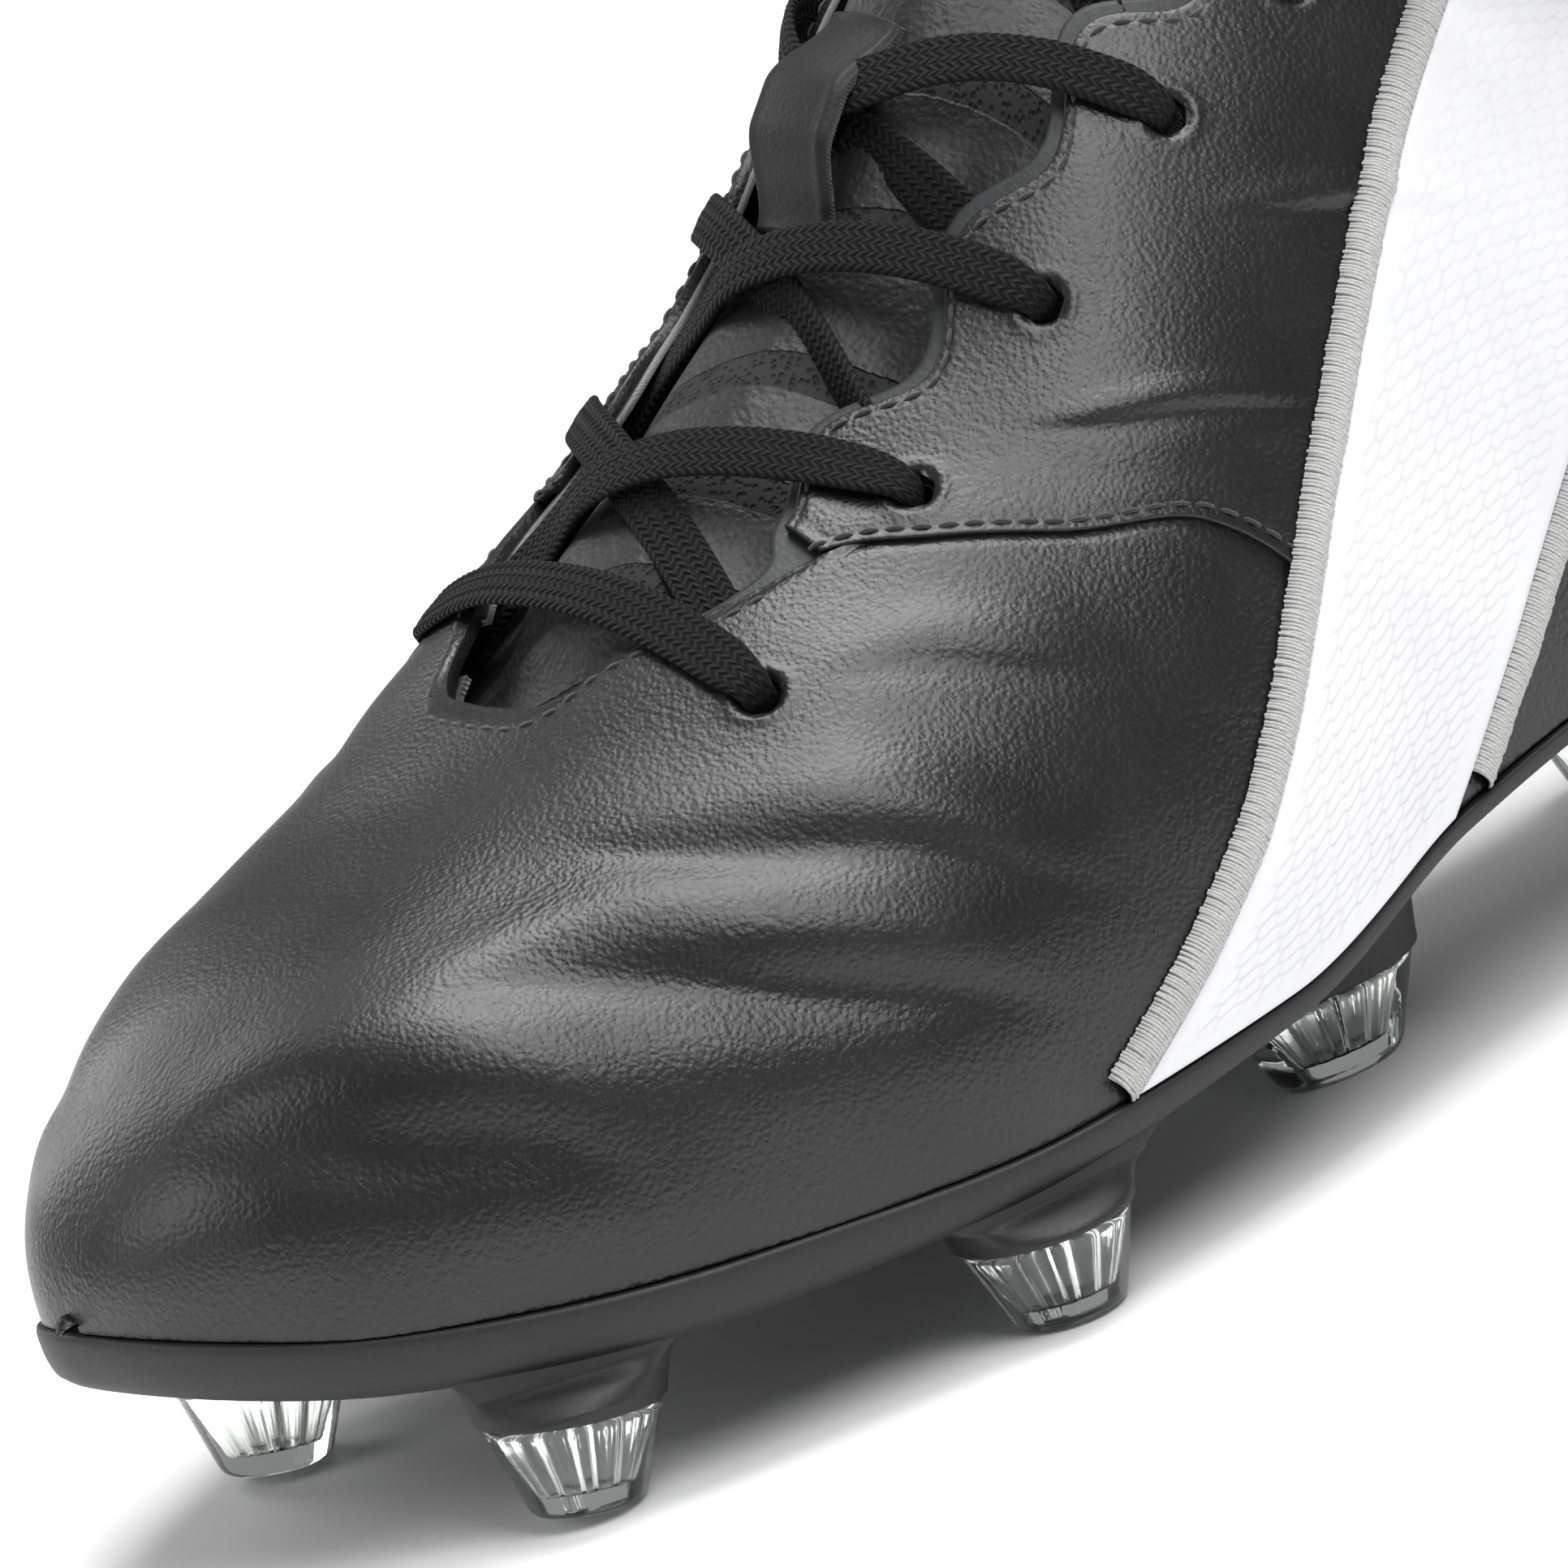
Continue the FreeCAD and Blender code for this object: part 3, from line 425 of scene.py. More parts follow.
# ------------------------------------------------------------------ materials
class Nodes:
    """Small helper to build a node material."""

    def __init__(self, name):
        self.material = bpy.data.materials.new(name)
        self.material.use_nodes = True
        self.tree = self.material.node_tree
        self.shader = self.tree.nodes["Principled BSDF"]
        self.coords = self.tree.nodes.new("ShaderNodeTexCoord")
        self.scaled = {}

    def link(self, a, b):
        self.tree.links.new(a, b)

    def put(self, node, socket, value):
        if isinstance(value, bpy.types.NodeSocket):
            self.link(value, node.inputs[socket])
        else:
            node.inputs[socket].default_value = value

    def where(self, kind="Object", scale=(1000.0, 1000.0, 1000.0)):
        """Coordinates in millimetres."""
        node = self.tree.nodes.new("ShaderNodeMapping")
        self.link(self.coords.outputs[kind], node.inputs["Vector"])
        node.inputs["Scale"].default_value = scale
        return node.outputs["Vector"]

    def noise(self, scale, vector=None, detail=3.0, rough=0.55):
        node = self.tree.nodes.new("ShaderNodeTexNoise")
        self.put(node, "Scale", scale)
        self.put(node, "Detail", detail)
        self.put(node, "Roughness", rough)
        self.put(node, "Vector", vector if vector is not None else self.where())
        return node.outputs["Fac"]

    def cells(self, scale, vector=None, feature="SMOOTH_F1"):
        node = self.tree.nodes.new("ShaderNodeTexVoronoi")
        node.feature = feature
        self.put(node, "Scale", scale)
        self.put(node, "Vector", vector if vector is not None else self.where())
        return node.outputs["Distance"]

    def wave(self, scale, vector, distortion=0.0, direction="X"):
        node = self.tree.nodes.new("ShaderNodeTexWave")
        node.bands_direction = direction
        self.put(node, "Scale", scale)
        self.put(node, "Distortion", distortion)
        self.put(node, "Vector", vector)
        return node.outputs["Fac"]

    def math(self, operation, a, b=0.0, clamp=False):
        node = self.tree.nodes.new("ShaderNodeMath")
        node.operation = operation
        node.use_clamp = clamp
        self.put(node, 0, a)
        self.put(node, 1, b)
        return node.outputs[0]

    def ramp(self, value, low, high, out_low=0.0, out_high=1.0):
        node = self.tree.nodes.new("ShaderNodeMapRange")
        self.put(node, "Value", value)
        for socket, number in zip(("From Min", "From Max", "To Min", "To Max"),
                                  (low, high, out_low, out_high)):
            node.inputs[socket].default_value = number
        return node.outputs["Result"]

    def mix(self, factor, a, b):
        node = self.tree.nodes.new("ShaderNodeMix")
        node.data_type = "RGBA"
        self.put(node, 0, factor)
        for socket, colour in ((6, a), (7, b)):
            if isinstance(colour, bpy.types.NodeSocket):
                self.link(colour, node.inputs[socket])
            else:
                node.inputs[socket].default_value = (*colour, 1.0)
        return node.outputs[2]

    def bump(self, height, distance, strength=1.0, before=None):
        node = self.tree.nodes.new("ShaderNodeBump")
        self.put(node, "Height", height)
        self.put(node, "Distance", distance * MM)
        self.put(node, "Strength", strength)
        if before:
            self.link(before, node.inputs["Normal"])
        return node.outputs["Normal"]

    def finish(self, colour, roughness, bump=None, **constants):
        self.put(self.shader, "Base Color", colour if isinstance(colour,
                                                                 bpy.types.NodeSocket) else (*colour, 1.0))
        self.put(self.shader, "Roughness", roughness)
        if bump:
            self.link(bump, self.shader.inputs["Normal"])
        for socket, value in constants.items():
            self.shader.inputs[socket.replace("_", " ")].default_value = value
        return self.material


def leather_material(name, dark, light, rough=0.42, grain=1.0, shine=0.36):
    """Pebbled grain with pores; the polish varies slowly over the hide."""
    n = Nodes(name)
    fine = n.cells(1.8)
    medium = n.noise(1.1, detail=4.0, rough=0.6)
    pores = n.noise(4.2, detail=2.0)
    height = n.math("ADD", n.math("MULTIPLY", fine, 1.0), n.math("MULTIPLY", medium, 0.45))
    height = n.math("ADD", height, n.math("MULTIPLY", pores, 0.35))
    tone = n.ramp(n.noise(0.045, detail=5.0), 0.35, 0.65)
    colour = n.mix(tone, dark, light)
    roughness = n.ramp(n.math("ADD", n.math("MULTIPLY", fine, 0.4), n.noise(0.06)), 0.3, 1.0, rough - 0.07,
                       rough + 0.10)
    return n.finish(colour, roughness, n.bump(height, 0.085 * grain), Specular_IOR_Level=shine)


def fabric_material(name, dark, light, scale=1.4, rough=0.9, depth=0.12, sheen=0.3):
    n = Nodes(name)
    where = n.where("Object", (1000.0,) * 3)
    warp = n.wave(scale, where, 0.6, "X")
    weft = n.wave(scale, where, 0.6, "DIAGONAL")
    weave = n.math("MAXIMUM", warp, weft)
    fuzz = n.noise(2.6, detail=4.0)
    height = n.math("ADD", weave, n.math("MULTIPLY", fuzz, 0.6))
    colour = n.mix(n.ramp(n.math("ADD", weave, fuzz), 0.4, 1.6), dark, light)
    return n.finish(colour, n.ramp(fuzz, 0.2, 0.8, rough - 0.08, rough + 0.05), n.bump(height, depth),
                    Sheen_Weight=sheen, Sheen_Roughness=0.5)


def plastic_material(name, dark, light, rough=0.5, depth=0.03):
    n = Nodes(name)
    fine = n.noise(2.2, detail=3.0)
    broad = n.noise(0.06, detail=4.0)
    colour = n.mix(n.ramp(broad, 0.35, 0.7), dark, light)
    return n.finish(colour, n.ramp(n.math("ADD", fine, broad), 0.6, 1.4, rough - 0.06, rough + 0.08),
                    n.bump(fine, depth))


leather = leather_material("black_leather", (0.0030, 0.0030, 0.0034), (0.0065, 0.0065, 0.0070), 0.35,
                           shine=0.52)
band_leather = leather_material("white_band", (0.66, 0.66, 0.68), (0.71, 0.71, 0.73), 0.50, 0.12)
band_thread = fabric_material("band_thread", (0.30, 0.30, 0.295), (0.56, 0.56, 0.555), 2.2, 0.75, 0.05)
thread = fabric_material("black_thread", (0.006, 0.006, 0.007), (0.02, 0.02, 0.022), 3.0, 0.7, 0.05)
sole_plastic = plastic_material("outsole", (0.007, 0.007, 0.0073), (0.011, 0.011, 0.0115), 0.55)
facing_synthetic = leather_material("facing_synthetic", (0.016, 0.017, 0.018), (0.024, 0.025, 0.026), 0.5,
                                    0.5)
# The facing's rim is painted pale grey: partly the cut edge's own lighter colour, partly a painted highlight along the
# edge.
cut_edge_and_highlight = fabric_material("facing_cut_edge_and_highlight", (0.10, 0.10, 0.105), (0.22, 0.22, 0.22), 2.0, 0.85, 0.05)
lining_textile = fabric_material("lining_textile", (0.008, 0.008, 0.009), (0.022, 0.022, 0.024), 1.1, 0.95,
                                 0.15)
sock_textile = fabric_material("sock_textile", (0.012, 0.012, 0.014), (0.035, 0.035, 0.038), 0.8, 0.95, 0.2)
foam = fabric_material("foam", (0.03, 0.03, 0.031), (0.07, 0.07, 0.072), 0.9, 0.95, 0.2)
board = fabric_material("stiffener_board", (0.34, 0.29, 0.22), (0.50, 0.44, 0.35), 0.7, 0.9, 0.08)
aglet_plastic = plastic_material("aglet_plastic", (0.01, 0.01, 0.01), (0.022, 0.022, 0.024), 0.22, 0.01)


def lace_material():
    """Flat braid: yarns slant both ways from each rib, so the face reads as rows of small chevrons."""
    n = Nodes("black_lace")
    uv = n.where("UV", (1.0, 1.0, 1.0))
    split = n.tree.nodes.new("ShaderNodeSeparateXYZ")
    n.link(uv, split.inputs[0])
    across, length = split.outputs[0], split.outputs[1]
    column = n.math("FRACT", n.math("MULTIPLY", across, 1.0 / 1.45))
    mirror = n.math("ABSOLUTE", n.math("SUBTRACT", column, 0.5))
    slant = n.math("ADD", n.math("MULTIPLY", length, 1.0 / 1.15), n.math("MULTIPLY", mirror, 1.5))
    yarn = n.math("SINE", n.math("MULTIPLY", slant, 2 * math.pi))
    yarn = n.math("MULTIPLY", n.math("ADD", yarn, 1.0), 0.5)
    rib = n.math("MULTIPLY", mirror, 2.0)
    edge = n.math("SUBTRACT", 1.0, n.math("POWER", n.math("ABSOLUTE", n.math("SUBTRACT", rib, 0.5)), 2.0))
    fibre = n.noise(4.0, detail=3.0)
    height = n.math("ADD", n.math("MULTIPLY", n.math("MULTIPLY", yarn, edge), 1.0),
                    n.math("MULTIPLY", fibre, 0.25))
    # Colour follows the yarn relief: painted shade darkens the grooves between yarns, and the yarn crests are painted
    # lighter as a highlight.
    colour = n.mix(n.ramp(n.math("ADD", yarn, n.math("MULTIPLY", fibre, 0.5)), 0.3, 1.4),
                   (0.0004, 0.0004, 0.0005),
                   (0.0050, 0.0050, 0.0056))
    return n.finish(colour, n.ramp(yarn, 0, 1, 0.85, 0.66), n.bump(height, 0.22), Sheen_Weight=0.02,
                    Sheen_Roughness=0.4, Specular_IOR_Level=0.22)


lace_fabric = lace_material()


def glass_material():
    n = Nodes("clear_stud")
    cloud = n.noise(0.12, detail=3.0)
    colour = n.mix(n.ramp(cloud, 0.3, 0.7), (0.90, 0.95, 0.92), (0.97, 0.99, 0.98))
    ripple = n.noise(0.5, detail=2.0)
    return n.finish(colour, 0.04, n.bump(ripple, 0.03), Transmission_Weight=1.0, IOR=1.47)


clear_stud = glass_material()


def tongue_material():
    """Grained synthetic crossed by slanting bands of open mesh; each mesh hole is painted near-black as shade."""
    n = Nodes("tongue_synthetic")
    uv = n.where("UV", (1.0, 1.0, 1.0))
    split = n.tree.nodes.new("ShaderNodeSeparateXYZ")
    n.link(uv, split.inputs[0])
    across, length = n.math("SUBTRACT", split.outputs[0], 31.0), split.outputs[1]
    slant = n.math("MULTIPLY", across, n.math("ADD", n.math("MULTIPLY", across, 0.006), -0.47))
    place = n.math("ADD", n.math("ADD", length, slant), n.math("MULTIPLY", n.noise(0.9, uv), 0.5))
    row = n.math("FRACT", n.math("MULTIPLY", place, 1.0 / 13.0))
    off = n.math("ABSOLUTE", n.math("SUBTRACT", row, 0.5))
    band = n.ramp(off, 0.160, 0.145)
    holes = n.ramp(n.cells(1.35, uv, "F1"), 0.50, 0.20)
    grain = n.cells(1.5)
    crease = n.noise(0.7, detail=3.0)
    solid = n.math("ADD", n.math("MULTIPLY", grain, 0.5), crease)
    mesh = n.math("SUBTRACT", n.math("MULTIPLY", holes, -1.6), 0.8)
    height = n.math("ADD", n.math("MULTIPLY", solid, n.math("SUBTRACT", 1.0, band)),
                    n.math("MULTIPLY", mesh, band))
    # Painted shade: each mesh hole is coloured near-black, standing in for the shade inside it.
    mesh_with_shaded_holes = n.mix(holes, (0.012, 0.012, 0.013), (0.0004, 0.0004, 0.0005))
    colour = n.mix(band, (0.011, 0.011, 0.0115), mesh_with_shaded_holes)
    return n.finish(colour, n.ramp(band, 0, 1, 0.46, 0.8), n.bump(height, 0.16), Specular_IOR_Level=0.4)


tongue_synthetic = tongue_material()
keeper_synthetic = leather_material("keeper_synthetic", (0.006, 0.006, 0.0065), (0.009, 0.009, 0.0095),
                                    0.52, 0.7, 0.3)

# ------------------------------------------------------------------ upper
FOLD_PHASE = 120.0  # turns the waver of one crease against the next


def fold(points, a, b, width, depth, bow=0.0):
    """A crease from a to b, each (u, v): a dip with a long soft swell above it, dying out at its ends."""
    start, end = surface(*a), surface(*b)
    middle_normal = normal((a[0] + b[0]) / 2, (a[1] + b[1]) / 2)
    run = end - start
    length = np.linalg.norm(run)
    run = run / length
    sideways = np.cross(middle_normal, run)
    rel = points - start
    s = rel @ run / length
    t = rel @ sideways - bow * (1 - (2 * s - 1) ** 2) - 0.25 * width * np.sin(9.0 * s + FOLD_PHASE * a[0])
    near = np.exp(-((rel @ middle_normal) / 30.0) ** 2)
    middle = np.clip(np.sin(math.pi * np.clip(s, 0, 1)), 0, 1)
    taper = middle ** 1.4 * near
    w = width * (0.45 + 0.55 * middle)
    dip = np.exp(-(t / w) ** 2)
    upper = np.exp(-((t - 2.1 * w) / (1.9 * w)) ** 2)
    lower = np.exp(-((t + 2.6 * w) / (2.2 * w)) ** 2)
    return depth * taper * (-0.55 * dip + 0.95 * upper + 0.30 * lower)


FOLDS = [
    # start (u, v), end (u, v), width, depth, bow
    ((0.285, 0.36), (0.400, 0.84), 2.6, 1.25, -1.5),
    ((0.205, 0.42), (0.372, 0.92), 3.2, 1.7, 2.0),
    ((0.110, 0.28), (0.250, 0.90), 4.4, 1.9, 2.5),
    ((0.362, 0.46), (0.430, 0.72), 2.0, 0.8, 1.0),
    ((0.440, 0.46), (0.510, 0.72), 1.1, 0.75, -1.2),
    ((0.505, 0.54), (0.600, 0.74), 1.1, 0.75, -1.2),
    ((0.300, -0.26), (0.385, -0.72), 2.6, 1.1, 1.5),
    ((0.215, -0.34), (0.345, -0.84), 3.0, 1.4, -1.5),
    ((0.125, -0.30), (0.220, -0.80), 3.8, 1.2, -1.0),
    ((0.360, -0.42), (0.415, -0.62), 1.8, 0.6, 1.0),
    ((0.440, -0.45), (0.505, -0.70), 1.1, 0.7, 1.0),
    ((0.515, -0.50), (0.595, -0.72), 1.1, 0.7, 1.0),
    ((0.655, 0.72), (0.750, 0.88), 2.0, 0.6, 1.0),
    ((0.665, -0.72), (0.755, -0.88), 2.0, 0.6, 1.0),
    ((0.795, 0.69), (0.885, 0.80), 2.2, 0.45, 0.5),
    ((0.795, -0.69), (0.885, -0.80), 2.2, 0.45, 0.5),
]


def relief(u, v):
    """Unevenness of the leather over the last, in millimetres."""
    p = surface(u, v)
    h = np.zeros(p.shape[:-1])
    for a, b, width, depth, bow in FOLDS:
        h += fold(p, a, b, width, depth, bow)
    h += 0.22 * np.sin(p[..., 1] / 9.0 + 1.3 * np.sin(p[..., 0] / 14.0)) * np.sin(p[..., 2] / 11.0 + p[...,
                                                                                                       0] / 17.0)
    h += 0.12 * np.sin(p[..., 1] / 4.3 + p[..., 2] / 5.1) * np.sin(p[..., 0] / 6.1 - p[..., 2] / 7.7)
    return h


def patch(name, place, rows, columns, thickness, material, node, lift=0.0, height=None, eyelets=(),
          conform=1.0, rim=None, bevel=0.3, flip=False, uv_size=None, taper=0.0):
    """A sheet of the upper with rounded edges. conform is how much of the leather's relief it follows, and taper
    how much of its first end thins out."""
    a, b = parameters(rows, columns)
    u, v = place(a, b)
    h = lift + (height(u, v, a, b) if height else np.zeros_like(u))
    out = normal(u, v)
    p = lifted(u, v, h + (conform * relief(u, v) if conform else 0.0))
    depth = thickness * (0.15 + 0.85 * ease(a / taper)) if taper else np.full(a.shape, thickness)
    outer, inner = p.reshape(-1, 3), (p - out * depth[..., None]).reshape(-1, 3)
    faces = grid_faces(rows, columns)
    if flip:
        faces = faces[:, ::-1]
    holes = [(lifted(np.array(e[0]), np.array(e[1]), lift + relief(*e)), normal(*e)) for e in eyelets]
    if holes:
        outer, inside = open_eyelets(outer, holes, EYELET_RADIUS, 0.16)
        inner, _ = open_eyelets(inner, [(c - thickness * n, n) for c, n in holes], EYELET_RADIUS, 0.0)
        faces = faces[~inside[faces].all(axis=1)]
    verts, faces = thicken(outer, inner, faces)
    uv = np.tile(np.stack([b * uv_size[0], a * uv_size[1]], axis=-1).reshape(-1, 2),
                 (2, 1)) if uv_size else None
    obj = add_object(name, verts, faces, material, uv=uv)
    finish_rim(obj, len(outer), bevel, rim, [c for c, _ in holes])
    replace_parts(obj, node)
    return obj


def tubes(paths, radius, sides=6):
    """Vertices and faces of many short tubes; paths is (count, samples, 3); radius is one number or per sample."""
    paths = np.asarray(paths, float)
    count, samples, _ = paths.shape
    tangent = unit(np.gradient(paths, axis=1))
    hint = np.where(np.abs(tangent[..., 2:3]) < 0.9, np.array([0, 0, 1.0]), np.array([1.0, 0, 0]))
    side = unit(np.cross(tangent, hint))
    up = np.cross(side, tangent)
    angle = np.arange(sides) * 2 * math.pi / sides
    r = np.broadcast_to(radius, (count, samples))[..., None, None]
    ring = np.cos(angle)[:, None] * side[:, :, None, :] + np.sin(angle)[:, None] * up[:, :, None, :]
    verts = (paths[:, :, None, :] + r * ring).reshape(-1, 3)
    one = grid_faces(samples, sides, wrap=True)
    faces = (one[None] + (np.arange(count) * samples * sides)[:, None, None]).reshape(-1, 4)
    return verts, faces


def merge(parts):
    """Joins (verts, faces) pairs."""
    verts, faces, start = [], [], 0
    for v, f in parts:
        verts.append(v)
        faces.append(f + start)
        start += len(v)
    return np.concatenate(verts), np.concatenate(faces)


def surface_path(us, vs, h, conform=1.0):
    us, vs = np.asarray(us, float), np.asarray(vs, float)
    return lifted(us, vs, h + conform * relief(us, vs))


def stitch_run(us, vs, lift, length=1.9, gap=0.75, radius=0.26):
    """Single stitches along a line on the upper: each rises from one needle hole and dips into the next."""
    path = surface_path(us, vs, lift)
    out = normal(us, vs)
    s = np.concatenate([[0], np.cumsum(np.linalg.norm(np.diff(path, axis=0), axis=1))])
    count = max(int(s[-1] / (length + gap)), 1)
    start = (np.arange(count) + 0.15) * s[-1] / count + rng.uniform(-0.06, 0.06, count)
    t = np.linspace(0, 1, 6)
    where = start[:, None] + t[None] * length
    points = np.stack([np.interp(where, s, path[:, k]) for k in range(3)], axis=-1)
    up = np.stack([np.interp(where, s, out[:, k]) for k in range(3)], axis=-1)
    rise = 0.30 * np.sin(math.pi * t) ** 0.6 - 0.22
    points = points + up * rise[None, :, None]
    return tubes(points, radius * (0.75 + 0.25 * np.sin(math.pi * t)))


def throat_roll(u, v, a, b):
    """The vamp tucks under the quarter at the seam, its throat rim rolls in and its toe end sinks behind the sole."""
    off_crest = np.abs(v - THROAT_MIDDLE)
    seam = ease((a - 0.980) / 0.012) * ease((off_crest - 0.32) / 0.03)
    rim = ease((a - 0.97) / 0.03) * (1 - ease((off_crest - 0.30) / 0.03))
    return -0.6 * seam - 0.5 * rim ** 2 - 1.6 * (1 - ease(a / 0.012))


def quarter_lip(u, v, a, b):
    """The quarter lies over the vamp, and presses down along its stitch lines."""
    front = 0.15 * (1 - ease(a / 0.03))
    groove = np.exp(-((b - 0.982) / 0.007) ** 2) + np.exp(-((a - 0.0050) / 0.003) ** 2)
    edge = ease((b - 0.975) / 0.025)
    return front - 0.16 * groove - 0.35 * edge ** 2


patch("vamp_leather", vamp_place, 300, 420, 1.3, leather, "vamp", height=throat_roll,
      flip=True,
      taper=0.05,
      eyelets=[(EYELET_U[0], side_v(s, EYELET_U[0], EYELET_V[0])) for s in (1, -1)])
for side, word in SIDES:
    holes = [(u, side_v(side, u, v)) for u, v in zip(EYELET_U, EYELET_V)]
    patch("quarter_leather_" + word, quarter_place(side), 440, 200, 1.3, leather,
          "quarter_" + word,
          height=quarter_lip, eyelets=holes[1:], flip=side < 0)
    # Its rim gets the pale cut-edge material, which carries a painted highlight along the edge.
    patch("facing_" + word, facing_place(side), 360, 30, 0.8, facing_synthetic,
          "eyelet_facing_" + word, lift=-1.5, eyelets=holes, rim=cut_edge_and_highlight, bevel=0.0, flip=side < 0)
    runs = []
    v = np.linspace(0.345, 0.995, 300)
    runs.append(stitch_run(vamp_back_outer(v) + 0.0042, side_v(side, vamp_back_outer(v), v), 0.12))
    u = np.linspace(0.392, 0.572, 400)
    runs.append(stitch_run(u, side_v(side, u, throat_edge(u) + 0.013), -0.05))
    u = np.linspace(0.585, 0.985, 500)
    for inset in (0.026, 0.062):
        runs.append(stitch_run(u, side_v(side, u, topline(u) + inset), 0.0))
    verts, faces = merge(runs)
    add_object("quarter_stitching_" + word, verts, faces, thread)
v = np.linspace(-0.24, 0.34, 200)
verts, faces = stitch_run(vamp_back(v) - 0.0075, v, -0.05)
add_object("throat_stitching", verts, faces, thread)


# ------------------------------------------------------------------ side bands
def hexagons(x, y, size=2.6):
    """0 in the middle of each cell to 1 on the line between two cells."""
    row = size * math.sqrt(3.0)
    best = None
    for shift_x, shift_y in ((0.0, 0.0), (0.5 * size, 0.5 * row)):
        cx = np.round((x - shift_x) / size) * size + shift_x
        cy = np.round((y - shift_y) / row) * row + shift_y
        dx, dy = np.abs(x - cx), np.abs(y - cy)
        far = np.maximum(dx, 0.5 * dx + 0.866 * dy)
        best = far if best is None else np.minimum(best, far)
    return np.exp(-((0.5 * size - best) / 0.17) ** 2)


def band_height(u, v, a, b):
    edge = np.minimum(np.minimum(a, 1 - a) * 42.0, np.minimum(b, 1 - b) * 110.0)
    flat = ease((edge - 2.5) / 2.0)
    return -0.13 * hexagons(a * 42.0, b * 112.0) * flat - 0.25 * (1 - ease(edge / 1.2))


def satin(side, low, high, direction):
    """Dense satin stitch over one long edge of a side band."""
    t = np.linspace(0.022, 1, 60)
    middle_u = low[0] + t * (high[0] - low[0]) + direction * 0.0085
    middle_v = side_v(side, middle_u, low[1] + t * (high[1] - low[1]))
    path = surface_path(middle_u, middle_v, 0.0)
    out = normal(middle_u, middle_v)
    s = np.concatenate([[0], np.cumsum(np.linalg.norm(np.diff(path, axis=0), axis=1))])
    count = int(s[-1] / 0.40)
    where = (np.arange(count) + 0.5) * s[-1] / count + rng.uniform(-0.04, 0.04, count)
    centre = np.stack([np.interp(where, s, path[:, k]) for k in range(3)], axis=-1)
    up = unit(np.stack([np.interp(where, s, out[:, k]) for k in range(3)], axis=-1))
    forward = unit(np.gradient(centre, axis=0))
    across = unit(np.cross(up, forward))
    half = 2.05 + rng.uniform(-0.12, 0.20, (count, 1))
    skew = rng.uniform(-0.10, 0.10, (count, 1)) + 0.12
    x = np.linspace(-1, 1, 9)
    points = (centre[:, None] + (across * half)[:, None] * x[None, :, None]
              + (forward * skew)[:, None] * x[None, :, None]
              + up[:, None] * (0.15 + 1.25 * (1 - np.abs(x) ** 2.6))[None, :, None])
    threads = tubes(points, 0.235 * (1 - 0.35 * np.abs(x) ** 4), 6)
    under = np.linspace(-1, 1, 11)
    bed = (path[:, None] + (unit(np.cross(out, unit(np.gradient(path, axis=0)))) * 1.95)[:,
                                                                                         None] * under[None,
                                                                                                       :,
                                                                                                       None]
           + out[:, None] * (0.02 + 1.22 * (1 - np.abs(under) ** 2.6))[None, :, None])
    return merge([threads, (bed.reshape(-1, 3), grid_faces(len(t), len(under)))])


BAND = {"front_low": (0.380, 0.998), "rear_low": (0.500, 0.998), "front_high": (0.612, 0.555),
        "rear_high": (0.700, 0.660)}
for side, word in SIDES:
    place = quad(side, BAND["front_low"], BAND["rear_low"], BAND["front_high"], BAND["rear_high"])
    patch("band_" + word, place, 170, 420, 1.0, band_leather, "side_band_" + word, lift=1.2,
          height=band_height, conform=0.5, bevel=0.2, flip=side < 0)
    verts, faces = merge([satin(side, BAND["front_low"], BAND["front_high"], -1),
                          satin(side, BAND["rear_low"], BAND["rear_high"], 1)])
    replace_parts(add_object("band_satin_" + word, verts, faces, band_thread),
                "band_stitching_" + word)

# ------------------------------------------------------------------ lace
LACE_WIDTH, LACE_THICK = 5.8, 1.15
LACE_UNDER = -3.9
KEEPER_U, KEEPER_RUN, KEEPER_PULL = 0.467, 2, 0.022


def lace_profile(columns):
    """Half widths and half thickness round the flat lace."""
    angle = np.arange(columns) * 2 * math.pi / columns
    x = np.sign(np.cos(angle)) * np.abs(np.cos(angle)) ** 0.75
    z = np.sign(np.sin(angle)) * np.abs(np.sin(angle)) ** 0.62
    return x, z


def ribbon(path, arc, width_hint, up=None, pinch=None, columns=30, follow=0.0):
    """Flat braided lace along a path. up gives the direction its face looks to, where it lies on something."""
    tangent = unit(np.gradient(path, axis=0))
    across = np.zeros_like(path)
    w = np.asarray(width_hint, float)
    target = None
    if up is not None:
        target = np.cross(tangent, up)
        weight = np.linalg.norm(target, axis=1)
        target = unit(target)
    for i in range(len(path)):
        if target is not None:
            k = follow * weight[i] ** 3
            w = (1 - k) * w + k * target[i] * (1.0 if float(w @ target[i]) >= 0 else -1.0)
        w = w - tangent[i] * float(w @ tangent[i])
        w = w / np.linalg.norm(w)
        across[i] = w
    face = np.cross(across, tangent)
    x, z = lace_profile(columns)
    squeeze = np.ones(len(path)) if pinch is None else pinch
    half_w = 0.5 * LACE_WIDTH * squeeze
    half_t = 0.5 * LACE_THICK * (1 + 0.9 * (1 - squeeze))
    flat_x = x * 0.5 * LACE_WIDTH
    column = np.mod(flat_x / 1.45, 1.0) - 0.5
    yarn = np.sin(2 * math.pi * (arc[:, None] / 1.15 + 1.5 * np.abs(column)[None, :]))
    relief_yarn = 0.085 * yarn * (0.3 + 0.7 * np.abs(z))[None,
                                                         :] + 0.05 * np.cos(2 * math.pi * column)[None, :]
    points = (path[:, None] + across[:, None] * (x[None, :,
                                                   None] * (half_w[:, None, None] + 0.5 * relief_yarn[...,
                                                                                                      None]))
              + face[:, None] * (z[None, :, None] * (half_t[:, None, None] + relief_yarn[..., None])))
    uv = np.stack(np.broadcast_arrays(flat_x[None, :], arc[:, None]), axis=-1)
    return points.reshape(-1, 3), grid_faces(len(path), columns, wrap=True), uv.reshape(-1, 2)


def eyelet_at(side, index):
    return EYELET_U[index], side_v(side, EYELET_U[index], EYELET_V[index])


